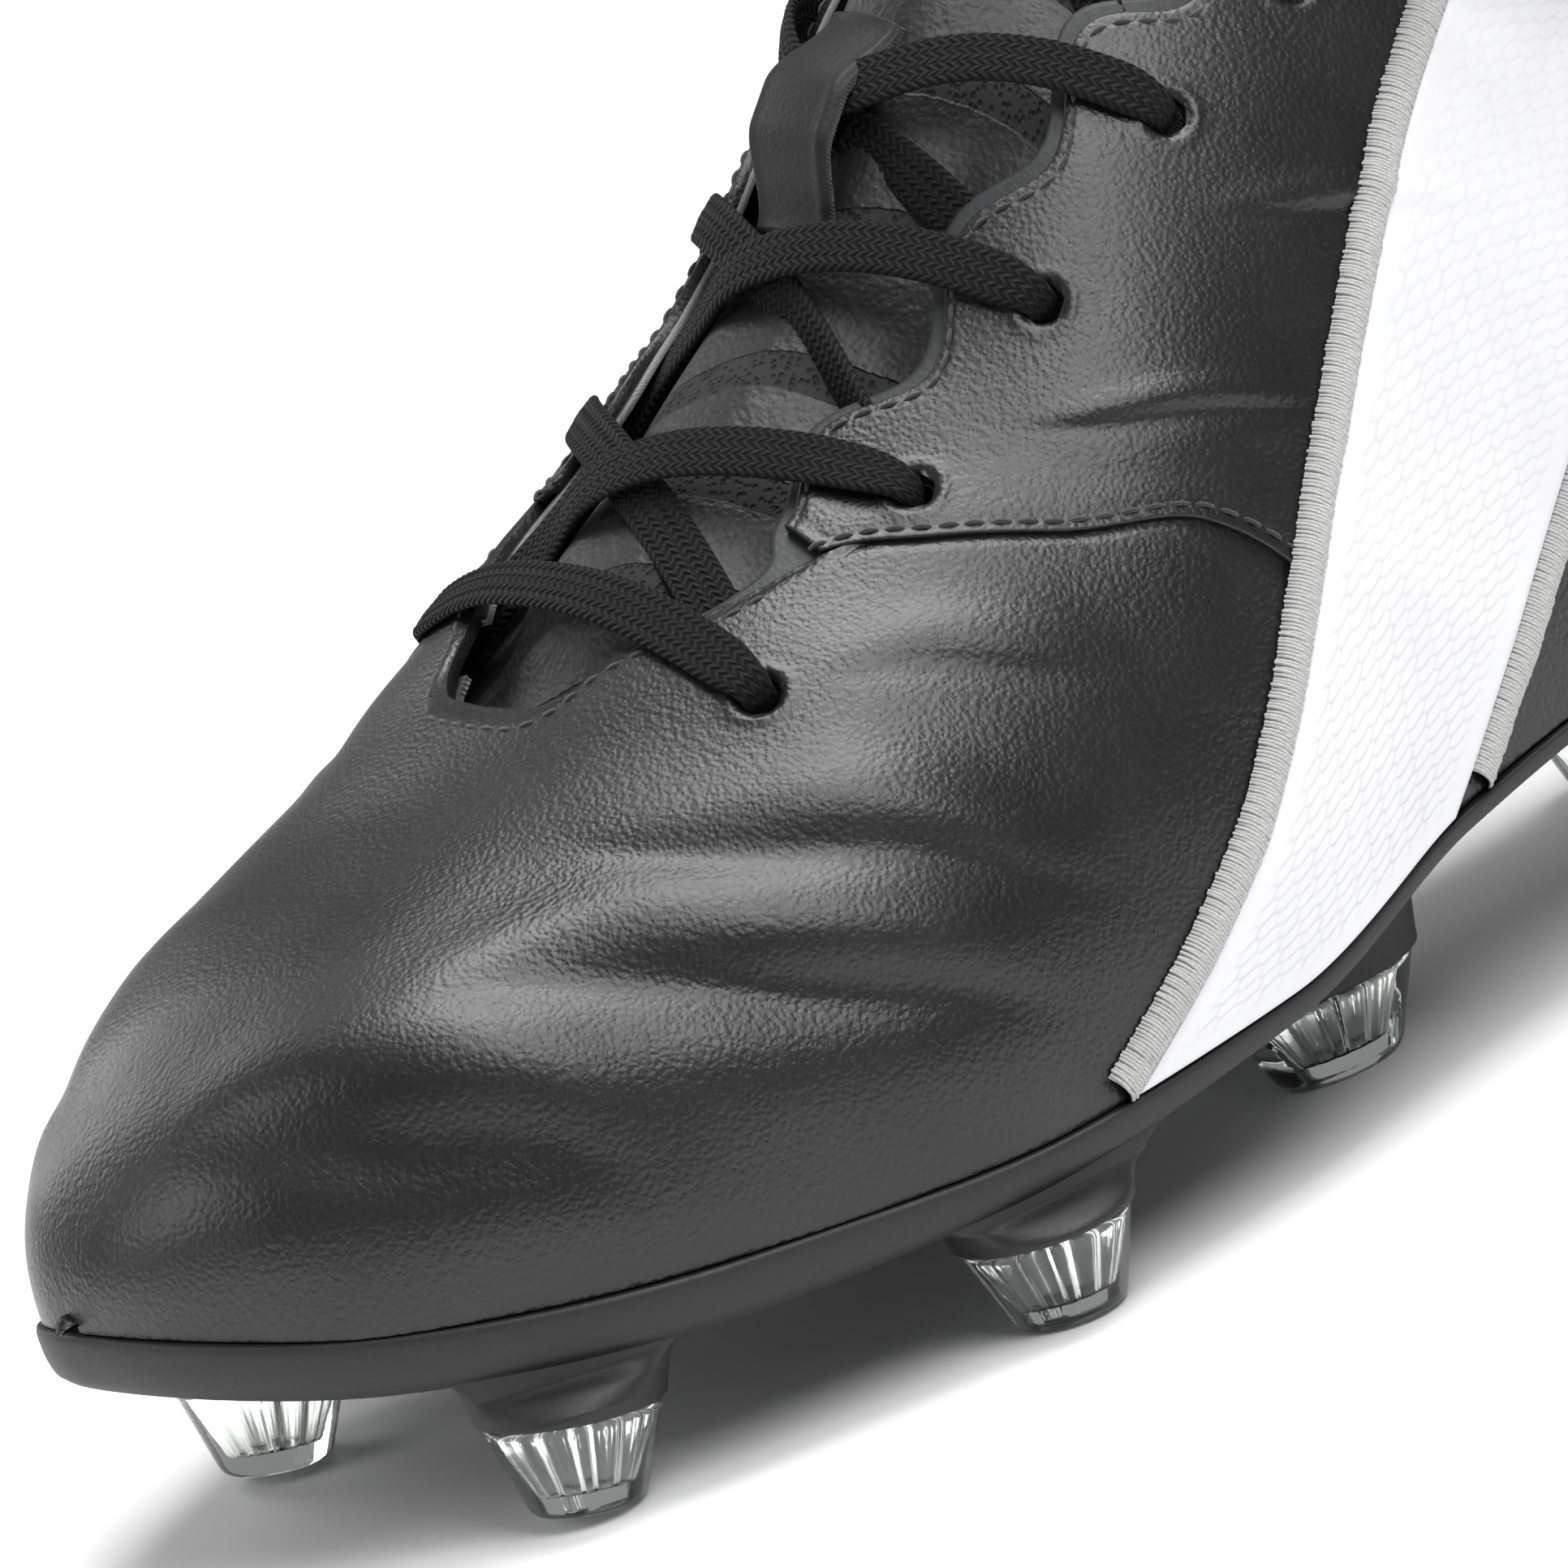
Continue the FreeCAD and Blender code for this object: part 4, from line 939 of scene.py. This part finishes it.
def crossing_run(side, index):
    """From under one eyelet, up through the throat and over to the next eyelet opposite, then down into it."""
    u0, v0 = eyelet_at(side, index)
    u1, v1 = eyelet_at(-side, index + 1)
    on_top = side < 0
    pull = KEEPER_PULL if index == KEEPER_RUN else 0.0
    late = 0.05 if index == KEEPER_RUN else 0.0
    steps = [(0.0, LACE_UNDER), (0.16 + late, LACE_UNDER + 0.6), (0.33 + late, -1.6 if on_top else -2.4),
             (0.43, 1.4 if on_top else -0.9), (0.57, 2.2 if on_top else 0.2), (0.70, 1.7 if on_top else 1.0),
             (0.82, 1.25), (0.93, 1.15), (0.985, 0.7), (1.0, -1.2)]
    return [(u0 + t * (u1 - u0) - pull * (1 - abs(2 * t - 1)), v0 + t * (v1 - v0), h) for t, h in steps]


def half_lace(side):
    u, v = eyelet_at(side, 0)
    points = [(u, THROAT_MIDDLE + t * (v - THROAT_MIDDLE), h)
              for t, h in ((0.22, 1.6), (0.5, 1.3), (0.75, 1.15), (0.92, 1.1), (0.98, 0.6), (1.0, -1.2))]
    for index in range(len(EYELET_U) - 1):
        points += crossing_run(side, index)
        side = -side
    u, v = eyelet_at(side, len(EYELET_U) - 1)
    for t, h in ((0.0, LACE_UNDER), (0.2, LACE_UNDER), (0.5, -1.6), (0.85, 2.0)):
        points.append((u + t * (0.583 - u), v + t * (THROAT_MIDDLE - v), h))
    return points


def make_lace():
    route = half_lace(-1)[::-1] + half_lace(1)
    u, v, h = (np.array(c) for c in zip(*route))
    control = lifted(u, v, h + np.where(h > 0.5, 0.9, 0.3) * relief(u, v))
    path, arc = sample_spline(control, 0.16)
    out, _ = sample_spline(normal(u, v), 0.16)
    steps = np.linspace(0, 1, len(out))
    want = np.linspace(0, 1, len(path))
    up = unit(np.stack([np.interp(want, steps, out[:, k]) for k in range(3)], axis=-1))
    closest = np.full(len(path), 99.0)
    for side, _ in SIDES:
        for index in range(len(EYELET_U)):
            eu, ev = eyelet_at(side, index)
            centre = lifted(np.array(eu), np.array(ev), -0.6 + relief(np.array(eu), np.array(ev)))
            closest = np.minimum(closest, np.linalg.norm(path - centre, axis=1))
    pinch = 1 - 0.36 * np.exp(-(closest / 3.4) ** 2)
    verts, faces, uv = ribbon(path, arc, (0.0, 1.0, 0.0), up=up, pinch=pinch, follow=0.10)
    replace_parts(add_object("lace_held", verts, faces, lace_fabric, uv=uv), "lace")


make_lace()

# routes of the bow, in the order that the lace runs from the knot; metres before the shift
BOW = {
    "loop_lateral": [(0.0015, 0.0435, 0.1426), (0.0071, 0.0448, 0.1345), (0.0137, 0.0437, 0.1269),
        (0.0201, 0.0432, 0.1196), (0.0257, 0.0443, 0.1132), (0.0316, 0.0494, 0.1066),
                     (0.0340, 0.0590, 0.1041),
        (0.0318, 0.0686, 0.1068), (0.0260, 0.0737, 0.1135), (0.0194, 0.0719, 0.1210),
                     (0.0146, 0.0673, 0.1264),
        (0.0098, 0.0606, 0.1317), (0.0051, 0.0533, 0.1369), (0.0008, 0.0480, 0.1423)],
    "loop_medial": [(-0.0115, 0.0435, 0.1426), (-0.0169, 0.0454, 0.1343), (-0.0233, 0.0447, 0.1266),
        (-0.0296, 0.0448, 0.1190), (-0.0349, 0.0463, 0.1125), (-0.0402, 0.0519, 0.1057),
        (-0.0418, 0.0616, 0.1032), (-0.0390, 0.0710, 0.1060), (-0.0331, 0.0756, 0.1129),
        (-0.0268, 0.0733, 0.1206), (-0.0225, 0.0683, 0.1261), (-0.0184, 0.0613, 0.1316),
        (-0.0144, 0.0537, 0.1368), (-0.0108, 0.0480, 0.1423)],
    "tail_lateral": [(-0.0010, 0.0490, 0.1432), (0.0065, 0.0535, 0.1424), (0.0145, 0.0585, 0.1375),
        (0.0218, 0.0635, 0.1285), (0.0278, 0.0678, 0.1178), (0.0330, 0.0706, 0.1070),
                     (0.0366, 0.0728, 0.0960),
        (0.0376, 0.0746, 0.0852), (0.0378, 0.0760, 0.0750)],
    "tail_medial": [(-0.0085, 0.0490, 0.1432), (-0.0160, 0.0535, 0.1424), (-0.0235, 0.0585, 0.1372),
        (-0.0302, 0.0635, 0.1280), (-0.0352, 0.0678, 0.1176), (-0.0380, 0.0706, 0.1066),
        (-0.0376, 0.0728, 0.0960), (-0.0360, 0.0746, 0.0854), (-0.0348, 0.0760, 0.0756)],
}


def free_lace(name, node, points, width_hint):
    route = [tuple(SHIFT[k] * MM + p[k] for k in range(3)) for p in points]
    path, _ = sample_spline(route, 0.16 * MM)
    path_mm = path / MM - SHIFT
    arc = np.concatenate([[0], np.cumsum(np.linalg.norm(np.diff(path_mm, axis=0), axis=1))])
    verts, faces, uv = ribbon(path_mm, arc, width_hint)
    obj = add_object(name, verts, faces, lace_fabric, uv=uv)
    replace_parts(obj, node)


def make_aglet(name, node, points):
    """Shrunk film round the lace's end, flattened a little, with an overlapped seam."""
    start = np.array(points[-1]) / MM
    direction = unit(start - np.array(points[-2]) / MM)
    flat = unit(np.cross(direction, (0.0, 1.0, 0.0)))
    edge = np.cross(direction, flat)
    t = np.array([0.0, 0.0, 0.012, 0.03, 0.06, 0.3, 0.6, 0.9, 0.955, 0.985, 1.0, 1.0])
    r = np.array([0.2, 0.82, 0.98, 1.0, 0.99, 0.97, 0.965, 0.96, 0.93, 0.80, 0.55, 0.05])
    angle = np.arange(40) * 2 * math.pi / 40
    seam = 1 + 0.05 * (angle < 0.5)
    rings = (start + direction * (t[:, None, None] * 18.0)
             + flat * (1.35 * r[:, None, None] * (np.cos(angle) * seam)[None, :, None])
             + edge * (1.75 * r[:, None, None] * (np.sin(angle) * seam)[None, :, None]))
    obj = add_object(name, rings, grid_faces(len(t), 40, wrap=True), aglet_plastic)
    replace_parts(obj, node)
    return obj


def make_bow():
    for word in ("lateral", "medial"):
        aglet = make_aglet("aglet_film_" + word, "aglet_" + word, BOW["tail_" + word])
        loop, tail = BOW["loop_" + word], BOW["tail_" + word]
        middle = np.mean(np.array(loop), axis=0)
        plane = unit(np.cross(np.array(loop[4]) - middle, np.array(loop[9]) - middle))
        free_lace("bow_" + word, "bow_loop_" + word, loop, plane)
        free_lace("tail_" + word, "lace_tail_" + word, tail, (0.0, 1.0, 0.0))


def make_knot():
    """The lace wrapped round itself: one band round the middle and two tucked turns across it."""
    centre = np.array([-5.0, 45.5, 142.4])
    parts, uvs = [], []
    t = np.linspace(0, 1, 160) * 2 * math.pi
    turns = (((0.0, 4.5, 0.0), (0.0, 0.0, 3.3), (1.0, 0.0, 0.0)),
             ((4.6, 2.0, 0.3), (0.4, -0.6, 2.6), (0.25, -0.95, 0.2)),
             ((4.6, -2.0, 0.3), (-0.4, 0.6, 2.3), (0.25, 0.95, 0.2)))
    for first, second, hint in turns:
        path = centre + np.cos(t)[:, None] * np.array(first) + np.sin(t)[:, None] * np.array(second)
        arc = np.concatenate([[0], np.cumsum(np.linalg.norm(np.diff(path, axis=0), axis=1))])
        verts, faces, uv = ribbon(path, arc, hint)
        parts.append((verts, faces))
        uvs.append(uv)
    verts, faces = merge(parts)
    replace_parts(add_object("bow_knot_wraps", verts, faces, lace_fabric,
                           uv=np.concatenate(uvs)),
                "bow_knot")


make_bow()
make_knot()

# ------------------------------------------------------------------ tongue
def tongue_height(u, v, a, b):
    edge = np.minimum(b, 1 - b) * 62.0
    return tongue_lift(u, v) - 0.3 * (1 - ease(edge / 1.5)) + 0.15 * np.sin(a * 40.0) * np.sin(b * math.pi)


tongue = patch("tongue_face", tongue_place, 300, 160, 0.9, tongue_synthetic,
               "tongue_skin",
               height=tongue_height, conform=0.0, bevel=0.2, uv_size=(62.0, 128.0), flip=True)
pad = patch("tongue_padding", tongue_place, 120, 80, 3.2, foam, "tongue_foam", conform=0.0, bevel=0.6,
            height=lambda u, v, a, b: tongue_lift(u, v) - 1.1, flip=True)
patch("tongue_cloth", tongue_place, 160, 90, 0.8, lining_textile, "tongue_lining",
      conform=0.0,
      height=lambda u, v, a, b: tongue_lift(u, v) - 4.5, bevel=0.2, flip=True)


def keeper_place(a, b):
    return KEEPER_U + 0.020 * (2 * a - 1), THROAT_MIDDLE + 0.075 * (2 * b - 1)


def keeper_height(u, v, a, b):
    rise = 1 - ease((np.abs(u - KEEPER_U) - 0.16 * 0.020) / (0.82 * 0.020))
    edge = np.minimum(b, 1 - b) * 12.0
    return -0.9 + 5.0 * rise - 0.5 * (1 - ease(edge / 1.0)) + 0.25 * ease(1 - edge / 2.2) * ease(edge / 0.8)


patch("keeper_strap", keeper_place, 90, 60, 1.0, keeper_synthetic, "lace_keeper",
      conform=0.0,
      height=keeper_height, rim=lining_textile, bevel=0.25, flip=True)

# ------------------------------------------------------------------ sole
STUDS = {
    # name: (x, y, stretch along the boot, tilt)
    "front_lateral": (26.0, -103.0, 1.0, 9.0),
    "front_medial": (-29.5, -105.0, 1.0, 9.0),
    "ball_lateral": (42.3, -53.5, 1.0, 0.0),
    "ball_medial": (-35.0, -50.0, 1.0, 0.0),
    "waist_lateral": (17.5, 3.0, 1.3, 0.0),
    "waist_medial": (-17.5, 3.0, 1.3, 0.0),
    "heel_front_lateral": (21.5, 76.0, 1.0, 0.0),
    "heel_front_medial": (-19.0, 76.0, 1.0, 0.0),
    "heel_rear_lateral": (20.0, 118.0, 1.0, 0.0),
    "heel_rear_medial": (-18.0, 118.0, 1.0, 0.0),
}
TIP_HEIGHT, TIP_TOP_R, TIP_FOOT_R, TIP_RIM = 10.0, 9.2, 5.7, 1.2


def set_stud(points, stud):
    """Stretches, tilts and places a stud piece made on the Z axis with its foot at Z = 0."""
    x, y, stretch, tilt = stud
    p = points.copy()
    if stretch != 1.0:
        p = p * np.array([0.92, stretch, 1.0])
    c, s = math.cos(math.radians(-tilt)), math.sin(math.radians(-tilt))
    p = np.stack([p[..., 0], c * p[..., 1] - s * p[..., 2], s * p[..., 1] + c * p[..., 2]], axis=-1)
    return p + np.array([x, y, (TIP_FOOT_R - 0.85 * TIP_RIM) * math.sin(math.radians(tilt))])


def turned(profile, count=72, wobble=None):
    """Surface of revolution from (radius, height) pairs."""
    r, z = np.array(profile, float).T
    angle = np.arange(count) * 2 * math.pi / count
    scale = np.ones((len(r), count)) * (1.0 if wobble is None else wobble(angle))
    return np.stack([r[:, None] * scale * np.cos(angle), r[:, None] * scale * np.sin(angle),
                     np.broadcast_to(z[:, None], scale.shape)], axis=-1)


def rounded(profile, radius=0.35, steps=4):
    """Rounds the inner corners of a (radius, height) profile."""
    points = [np.array(p, float) for p in profile]
    out = [points[0]]
    for before, corner, after in zip(points, points[1:], points[2:]):
        back, on = before - corner, after - corner
        cut = min(radius, 0.45 * np.linalg.norm(back), 0.45 * np.linalg.norm(on))
        p0, p1 = corner + unit(back) * cut, corner + unit(on) * cut
        for t in np.linspace(0, 1, steps):
            out.append((1 - t) ** 2 * p0 + 2 * t * (1 - t) * corner + t * t * p1)
    return out + [points[-1]]


def plate_edge(u, side, inset):
    """Outline of the sole plate, moved in by inset."""
    outer, inner = half_widths(u)
    y = along(u)
    middle = (TOE_Y + HEEL_Y) / 2
    x = centre_x(y) + side * np.where(side > 0, outer, inner) * (1 - inset / 45.0)
    return x, middle + (y - middle) * (1 - inset / 140.0) + heel_curve(u, feather_z(y)), y


def make_plate():
    """Moulded plate: a ledge under the upper, a plain wall, a rounded lower edge."""
    t = np.linspace(0, 1, 341)
    u_side = 0.5 - 0.5 * np.cos(math.pi * t)
    u_side = 0.5 * t + 0.5 * u_side
    u = np.concatenate([u_side, u_side[-2:0:-1]])
    side = np.concatenate([np.ones(len(u_side)), -np.ones(len(u_side) - 2)])
    profile = rounded([(5.0, 0.0, 0.0), (0.2, 0.0, 0.0), (-0.55, 0.0, 0.0), (-0.85, -0.09, 0.0),
                       (-0.82, -0.45, 0.0),
                       (-0.40, -0.74, 0.0), (0.9, -0.95, 0.0), (2.6, -1.0, 0.0), (4.5, -0.97, 0.0),
                       (5.5, -0.86, 0.0), (9.0, -0.82, 0.0)], 0.45, 4)
    rings = []
    for inset, drop, _ in profile:
        x, y, at = plate_edge(u, side, inset)
        rings.append(np.stack([x, y, feather_z(at) - 0.2 + drop * sidewall(at)], axis=-1))
    inner_x, inner_y, inner_at = plate_edge(u, side, 9.0)
    base_x, _, _ = plate_edge(u, side, 45.0)
    for k in (0.75, 0.5, 0.25, 0.0):
        x = base_x + (inner_x - base_x) * k
        rings.append(np.stack([x, inner_y, feather_z(inner_at) - 0.2 - 0.82 * sidewall(inner_at)], axis=-1))
    grid = np.stack(rings, axis=1)
    n, m = grid.shape[:2]
    i, j = np.meshgrid(np.arange(n), np.arange(m - 1), indexing="ij")
    k = (i + 1) % n
    faces = np.stack([i * m + j, i * m + j + 1, k * m + j + 1, k * m + j], axis=-1).reshape(-1, 4)
    return grid.reshape(-1, 3), faces


def make_stud_base(stud):
    """Black cone with a lip over the clear tip, flared where it grows out of the plate."""
    x, y, stretch, tilt = stud
    underside = float(feather_z(y) - 0.9 * sidewall(y))
    reach = underside - 0.25
    body = 10.0 + 0.45 * (reach - 10.0)
    profile = rounded([(0.5, 9.9), (9.15, 9.9), (9.65, 10.0), (9.72, 10.9), (10.5, body + 0.8),
                       (11.4, reach - 1.2),
                       (13.2, reach + 0.3), (16.2, reach + 1.2), (17.0, reach + 2.2)], 0.9, 6)
    points = set_stud(turned(profile, 96), stud)
    wall_y = points[..., 1]
    u = np.arccos(np.clip(((TOE_Y + HEEL_Y) / 2 - wall_y) / ((HEEL_Y - TOE_Y) / 2), -1, 1)) / math.pi
    right_x, _, _ = plate_edge(u, 1, 0.35)
    left_x, _, _ = plate_edge(u, -1, 0.35)
    flare = ease((points[..., 2] - (reach - 4.0)) / 3.0)
    clipped = np.clip(points[..., 0], left_x + 0.3, right_x - 0.3)
    points[..., 0] += (clipped - points[..., 0]) * flare
    ceiling = feather_z(wall_y) - 0.35 * sidewall(wall_y)
    points[..., 2] = np.where(points[..., 2] > ceiling, ceiling, points[..., 2])
    n, m = points.shape[:2]
    return points.reshape(-1, 3), grid_faces(n, m, wrap=True)


def make_stud_tip(name, stud):
    """Clear moulded cone with a rounded foot and a ribbed hollow that the black peg fits in."""
    outside = rounded([(0.02, 0.0), (TIP_FOOT_R, 0.0), (TIP_TOP_R, TIP_HEIGHT), (0.02, TIP_HEIGHT)],
                      TIP_RIM, 8)

    def ribs(angle):
        return 1 + 0.10 * np.sign(np.sin(10 * angle)) * np.abs(np.sin(10 * angle)) ** 0.5

    hollow = rounded([(0.02, 2.6), (2.9, 2.6), (4.9, 9.3), (0.02, 9.3)], 0.4, 3)
    parts = [(set_stud(turned(outside, 96), stud).reshape(-1, 3), grid_faces(len(outside), 96, wrap=True)),
             (set_stud(turned(hollow, 120, ribs), stud).reshape(-1, 3),
              grid_faces(len(hollow), 120, wrap=True)[:, ::-1])]
    verts, faces = merge(parts)
    obj = add_object("clear_tip_" + name, verts, faces[:, ::-1], clear_stud)
    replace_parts(obj, "stud_tip_" + name)


verts, faces = merge([make_plate()] + [make_stud_base(stud) for stud in STUDS.values()])
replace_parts(add_object("sole_plate", verts, faces, sole_plastic), "outsole_plate")
for name, stud in STUDS.items():
    make_stud_tip(name, stud)


def insole_layer(name, node, low, high, inset, material, body, crown=0.0):
    """Flat layer over the sole; its rim rounds over."""
    u = np.linspace(0.003, END_U, 200)
    across = np.linspace(-1, 1, 61)
    uu, ss = np.meshgrid(u, across, indexing="ij")
    outer, inner = half_widths(uu)
    y = along(uu)
    middle = (TOE_Y + HEEL_Y) / 2
    x = centre_x(y) + ss * np.where(ss > 0, outer, inner) * (1 - inset / 45.0)
    yy = middle + (y - middle) * (1 - inset / 140.0) + heel_curve(uu, feather_z(y))
    edge = np.minimum(1 - np.abs(ss), np.minimum((uu - 0.003), END_U - uu) * 8)
    cup = crown * ease(1 - edge / 0.35) * ease((uu - 0.55) / 0.2)
    top = feather_z(y) + high + cup - 0.35 * (1 - ease(edge / 0.03))
    bottom = feather_z(y) + low + 0.2 * cup
    sheet = np.concatenate([np.stack([x, yy, top], -1), np.stack([x, yy, bottom], -1)[:, ::-1]], axis=1)
    n, m = sheet.shape[:2]
    uv = np.stack([np.concatenate([ss, ss[:, ::-1]], axis=1) * 35, np.concatenate([y, y[:, ::-1]], axis=1)],
                  -1)
    obj = add_object(name, sheet, grid_faces(n, m, wrap=True), material, body=body, uv=uv)
    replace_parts(obj, node)
    return obj


insole_layer("sockliner_pad", "sockliner_foam", 2.0, 4.95, 6.4, foam, "sockliner")
insole_layer("sockliner_top", "sockliner_cover", 5.0, 5.75, 6.4, sock_textile, "sockliner")

# ------------------------------------------------------------------ collar, linings and heel
def lining_place(side):
    front_low, front_high = vamp_back_outer(1.0) + 0.004, vamp_back_outer(0.62) + 0.004

    def upper_edge(a):
        u = front_high + a * (END_U - front_high)
        join = ease((u - EYESTAY_END_U) / 0.03)
        return u, 0.62 + (topline(u) + 0.004 - 0.62) * join

    def front_edge(b):
        v = 0.99 + b * (0.62 - 0.99)
        return vamp_back_outer(v) + 0.004, v

    return four_sided(side, line_edge((front_low, 0.99), (END_U, 0.99)), upper_edge, front_edge,
                      line_edge((END_U, 0.99), (END_U, topline(1.0) + 0.004)))


LINING_ROLL = 2.97  # how far the lining rolls out to the top line


def lining_height(u, v, a, b):
    """The lining bulges inward over the collar padding, and rolls out to meet the leather at the top line."""
    below = np.abs(v) - topline(u)
    collar = ease((u - 0.60) / 0.04)
    pad = collar * (1 - ease((below - 0.10) / 0.12))
    roll = collar * (1 - ease(below / 0.035))
    return -2.6 - 2.5 * pad + LINING_ROLL * roll ** 2


for side, word in SIDES:
    patch("lining_" + word, lining_place(side), 300, 110, 0.8, lining_textile,
          "collar_lining_" + word, height=lining_height, conform=0.5, bevel=0.2, flip=side < 0)


def foam_place(side):
    def upper_edge(a):
        u = 0.64 + a * (END_U - 0.64)
        return u, topline(u) + 0.012

    def sole_edge(a):
        u, v = upper_edge(a)
        return u, v + 0.10

    return four_sided(side, sole_edge, upper_edge, line_edge(sole_edge(0.0), upper_edge(0.0)),
                      line_edge(sole_edge(1.0), upper_edge(1.0)))


for side, word in SIDES:
    pad = patch("collar_pad_" + word, foam_place(side), 120, 20, 2.4, foam, "collar_foam_" + word,
                lift=-1.6, conform=0.5, bevel=0.5, flip=side < 0)


def vamp_lining_place(a, b):
    v = (-1 + 2 * b) * 0.995
    back = vamp_back(v) - 0.002
    back = back - (1 - ease((np.abs(v - THROAT_MIDDLE) - 0.44) / 0.12)) * np.maximum(back - 0.330, 0.0)
    return 0.012 + a * (back - 0.012), v


patch("vamp_cloth", vamp_lining_place, 120, 160, 0.8, lining_textile, "vamp_lining",
      lift=-2.7,
      conform=0.6, bevel=0.0, flip=True)


def heel_place(a, b):
    across = 2 * a - 1
    v = 0.99 + b * (0.60 - 0.99)
    u = 1 - np.abs(across) * (0.055 + 0.03 * (1 - b))
    return np.minimum(u, 0.99995), np.where(across >= 0, v, -v)


def heel_height(u, v, a, b):
    edge = np.minimum(np.minimum(a, 1 - a) * 55.0, np.minimum(b, 1 - b) * 75.0)
    return 0.3 - 0.35 * (1 - ease(edge / 1.2)) - 0.12 * np.exp(-((edge - 2.4) / 0.5) ** 2)


patch("heel_tab", heel_place, 160, 160, 1.0, leather, "heel_patch", lift=0.9,
      height=heel_height,
      conform=0.0, bevel=0.25)

for node, material in (("toe_puff", board), ("insole_board", board), ("heel_counter_lateral", board),
                       ("heel_counter_medial", board)):
    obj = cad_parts[node]
    obj.data.materials.clear()
    obj.data.materials.append(material)

# ------------------------------------------------------------------ floor and light
def make_stage():
    n = Nodes("floor")
    n.finish((0.96, 0.96, 0.962), n.ramp(n.noise(0.01), 0.3, 0.7, 0.55, 0.7))
    a, b = parameters(2, 2)
    points = np.stack([(a - 0.5) * 8000, (b - 0.5) * 8000, np.zeros_like(a)], axis=-1) - SHIFT
    mesh = bpy.data.meshes.new("floor")
    flat = (points.reshape(-1, 3) + SHIFT) * MM
    mesh.from_pydata([tuple(p) for p in flat], [], [(0, 2, 3, 1)])
    mesh.materials.append(n.material)
    obj = bpy.data.objects.new("floor", mesh)
    bpy.context.scene.collection.objects.link(obj)


def area_light(name, place, aim, size, power):
    data = bpy.data.lights.new(name, "AREA")
    data.shape = "RECTANGLE"
    data.size, data.size_y = size
    data.energy = power
    obj = bpy.data.objects.new(name, data)
    obj.location = place
    obj.rotation_euler = (Vector(aim) - Vector(place)).to_track_quat("-Z", "Y").to_euler()
    bpy.context.scene.collection.objects.link(obj)


make_stage()
world = bpy.data.worlds.new("studio")
world.use_nodes = True
world.node_tree.nodes["Background"].inputs[0].default_value = (1.0, 1.0, 1.0, 1.0)
world.node_tree.nodes["Background"].inputs[1].default_value = 0.24
bpy.context.scene.world = world
sun = bpy.data.lights.new("overhead", "SUN")
sun.energy, sun.angle = 3.2, math.radians(40)
overhead = bpy.data.objects.new("overhead", sun)
overhead.rotation_euler = Vector((-0.06, 0.30, 0.93)).to_track_quat("Z", "Y").to_euler()
bpy.context.scene.collection.objects.link(overhead)
area_light("front_soft", (-0.40, -1.05, 0.62), (0, -0.08, 0.05), (0.6, 0.6), 3.5)
area_light("rim_soft", (-1.05, -0.20, 0.55), (0, -0.05, 0.05), (0.4, 0.9), 3.5)
area_light("side_soft", (0.75, -0.05, 1.10), (0, 0.0, 0.06), (0.6, 0.9), 12.0)
bpy.context.scene.view_settings.view_transform = "Standard"
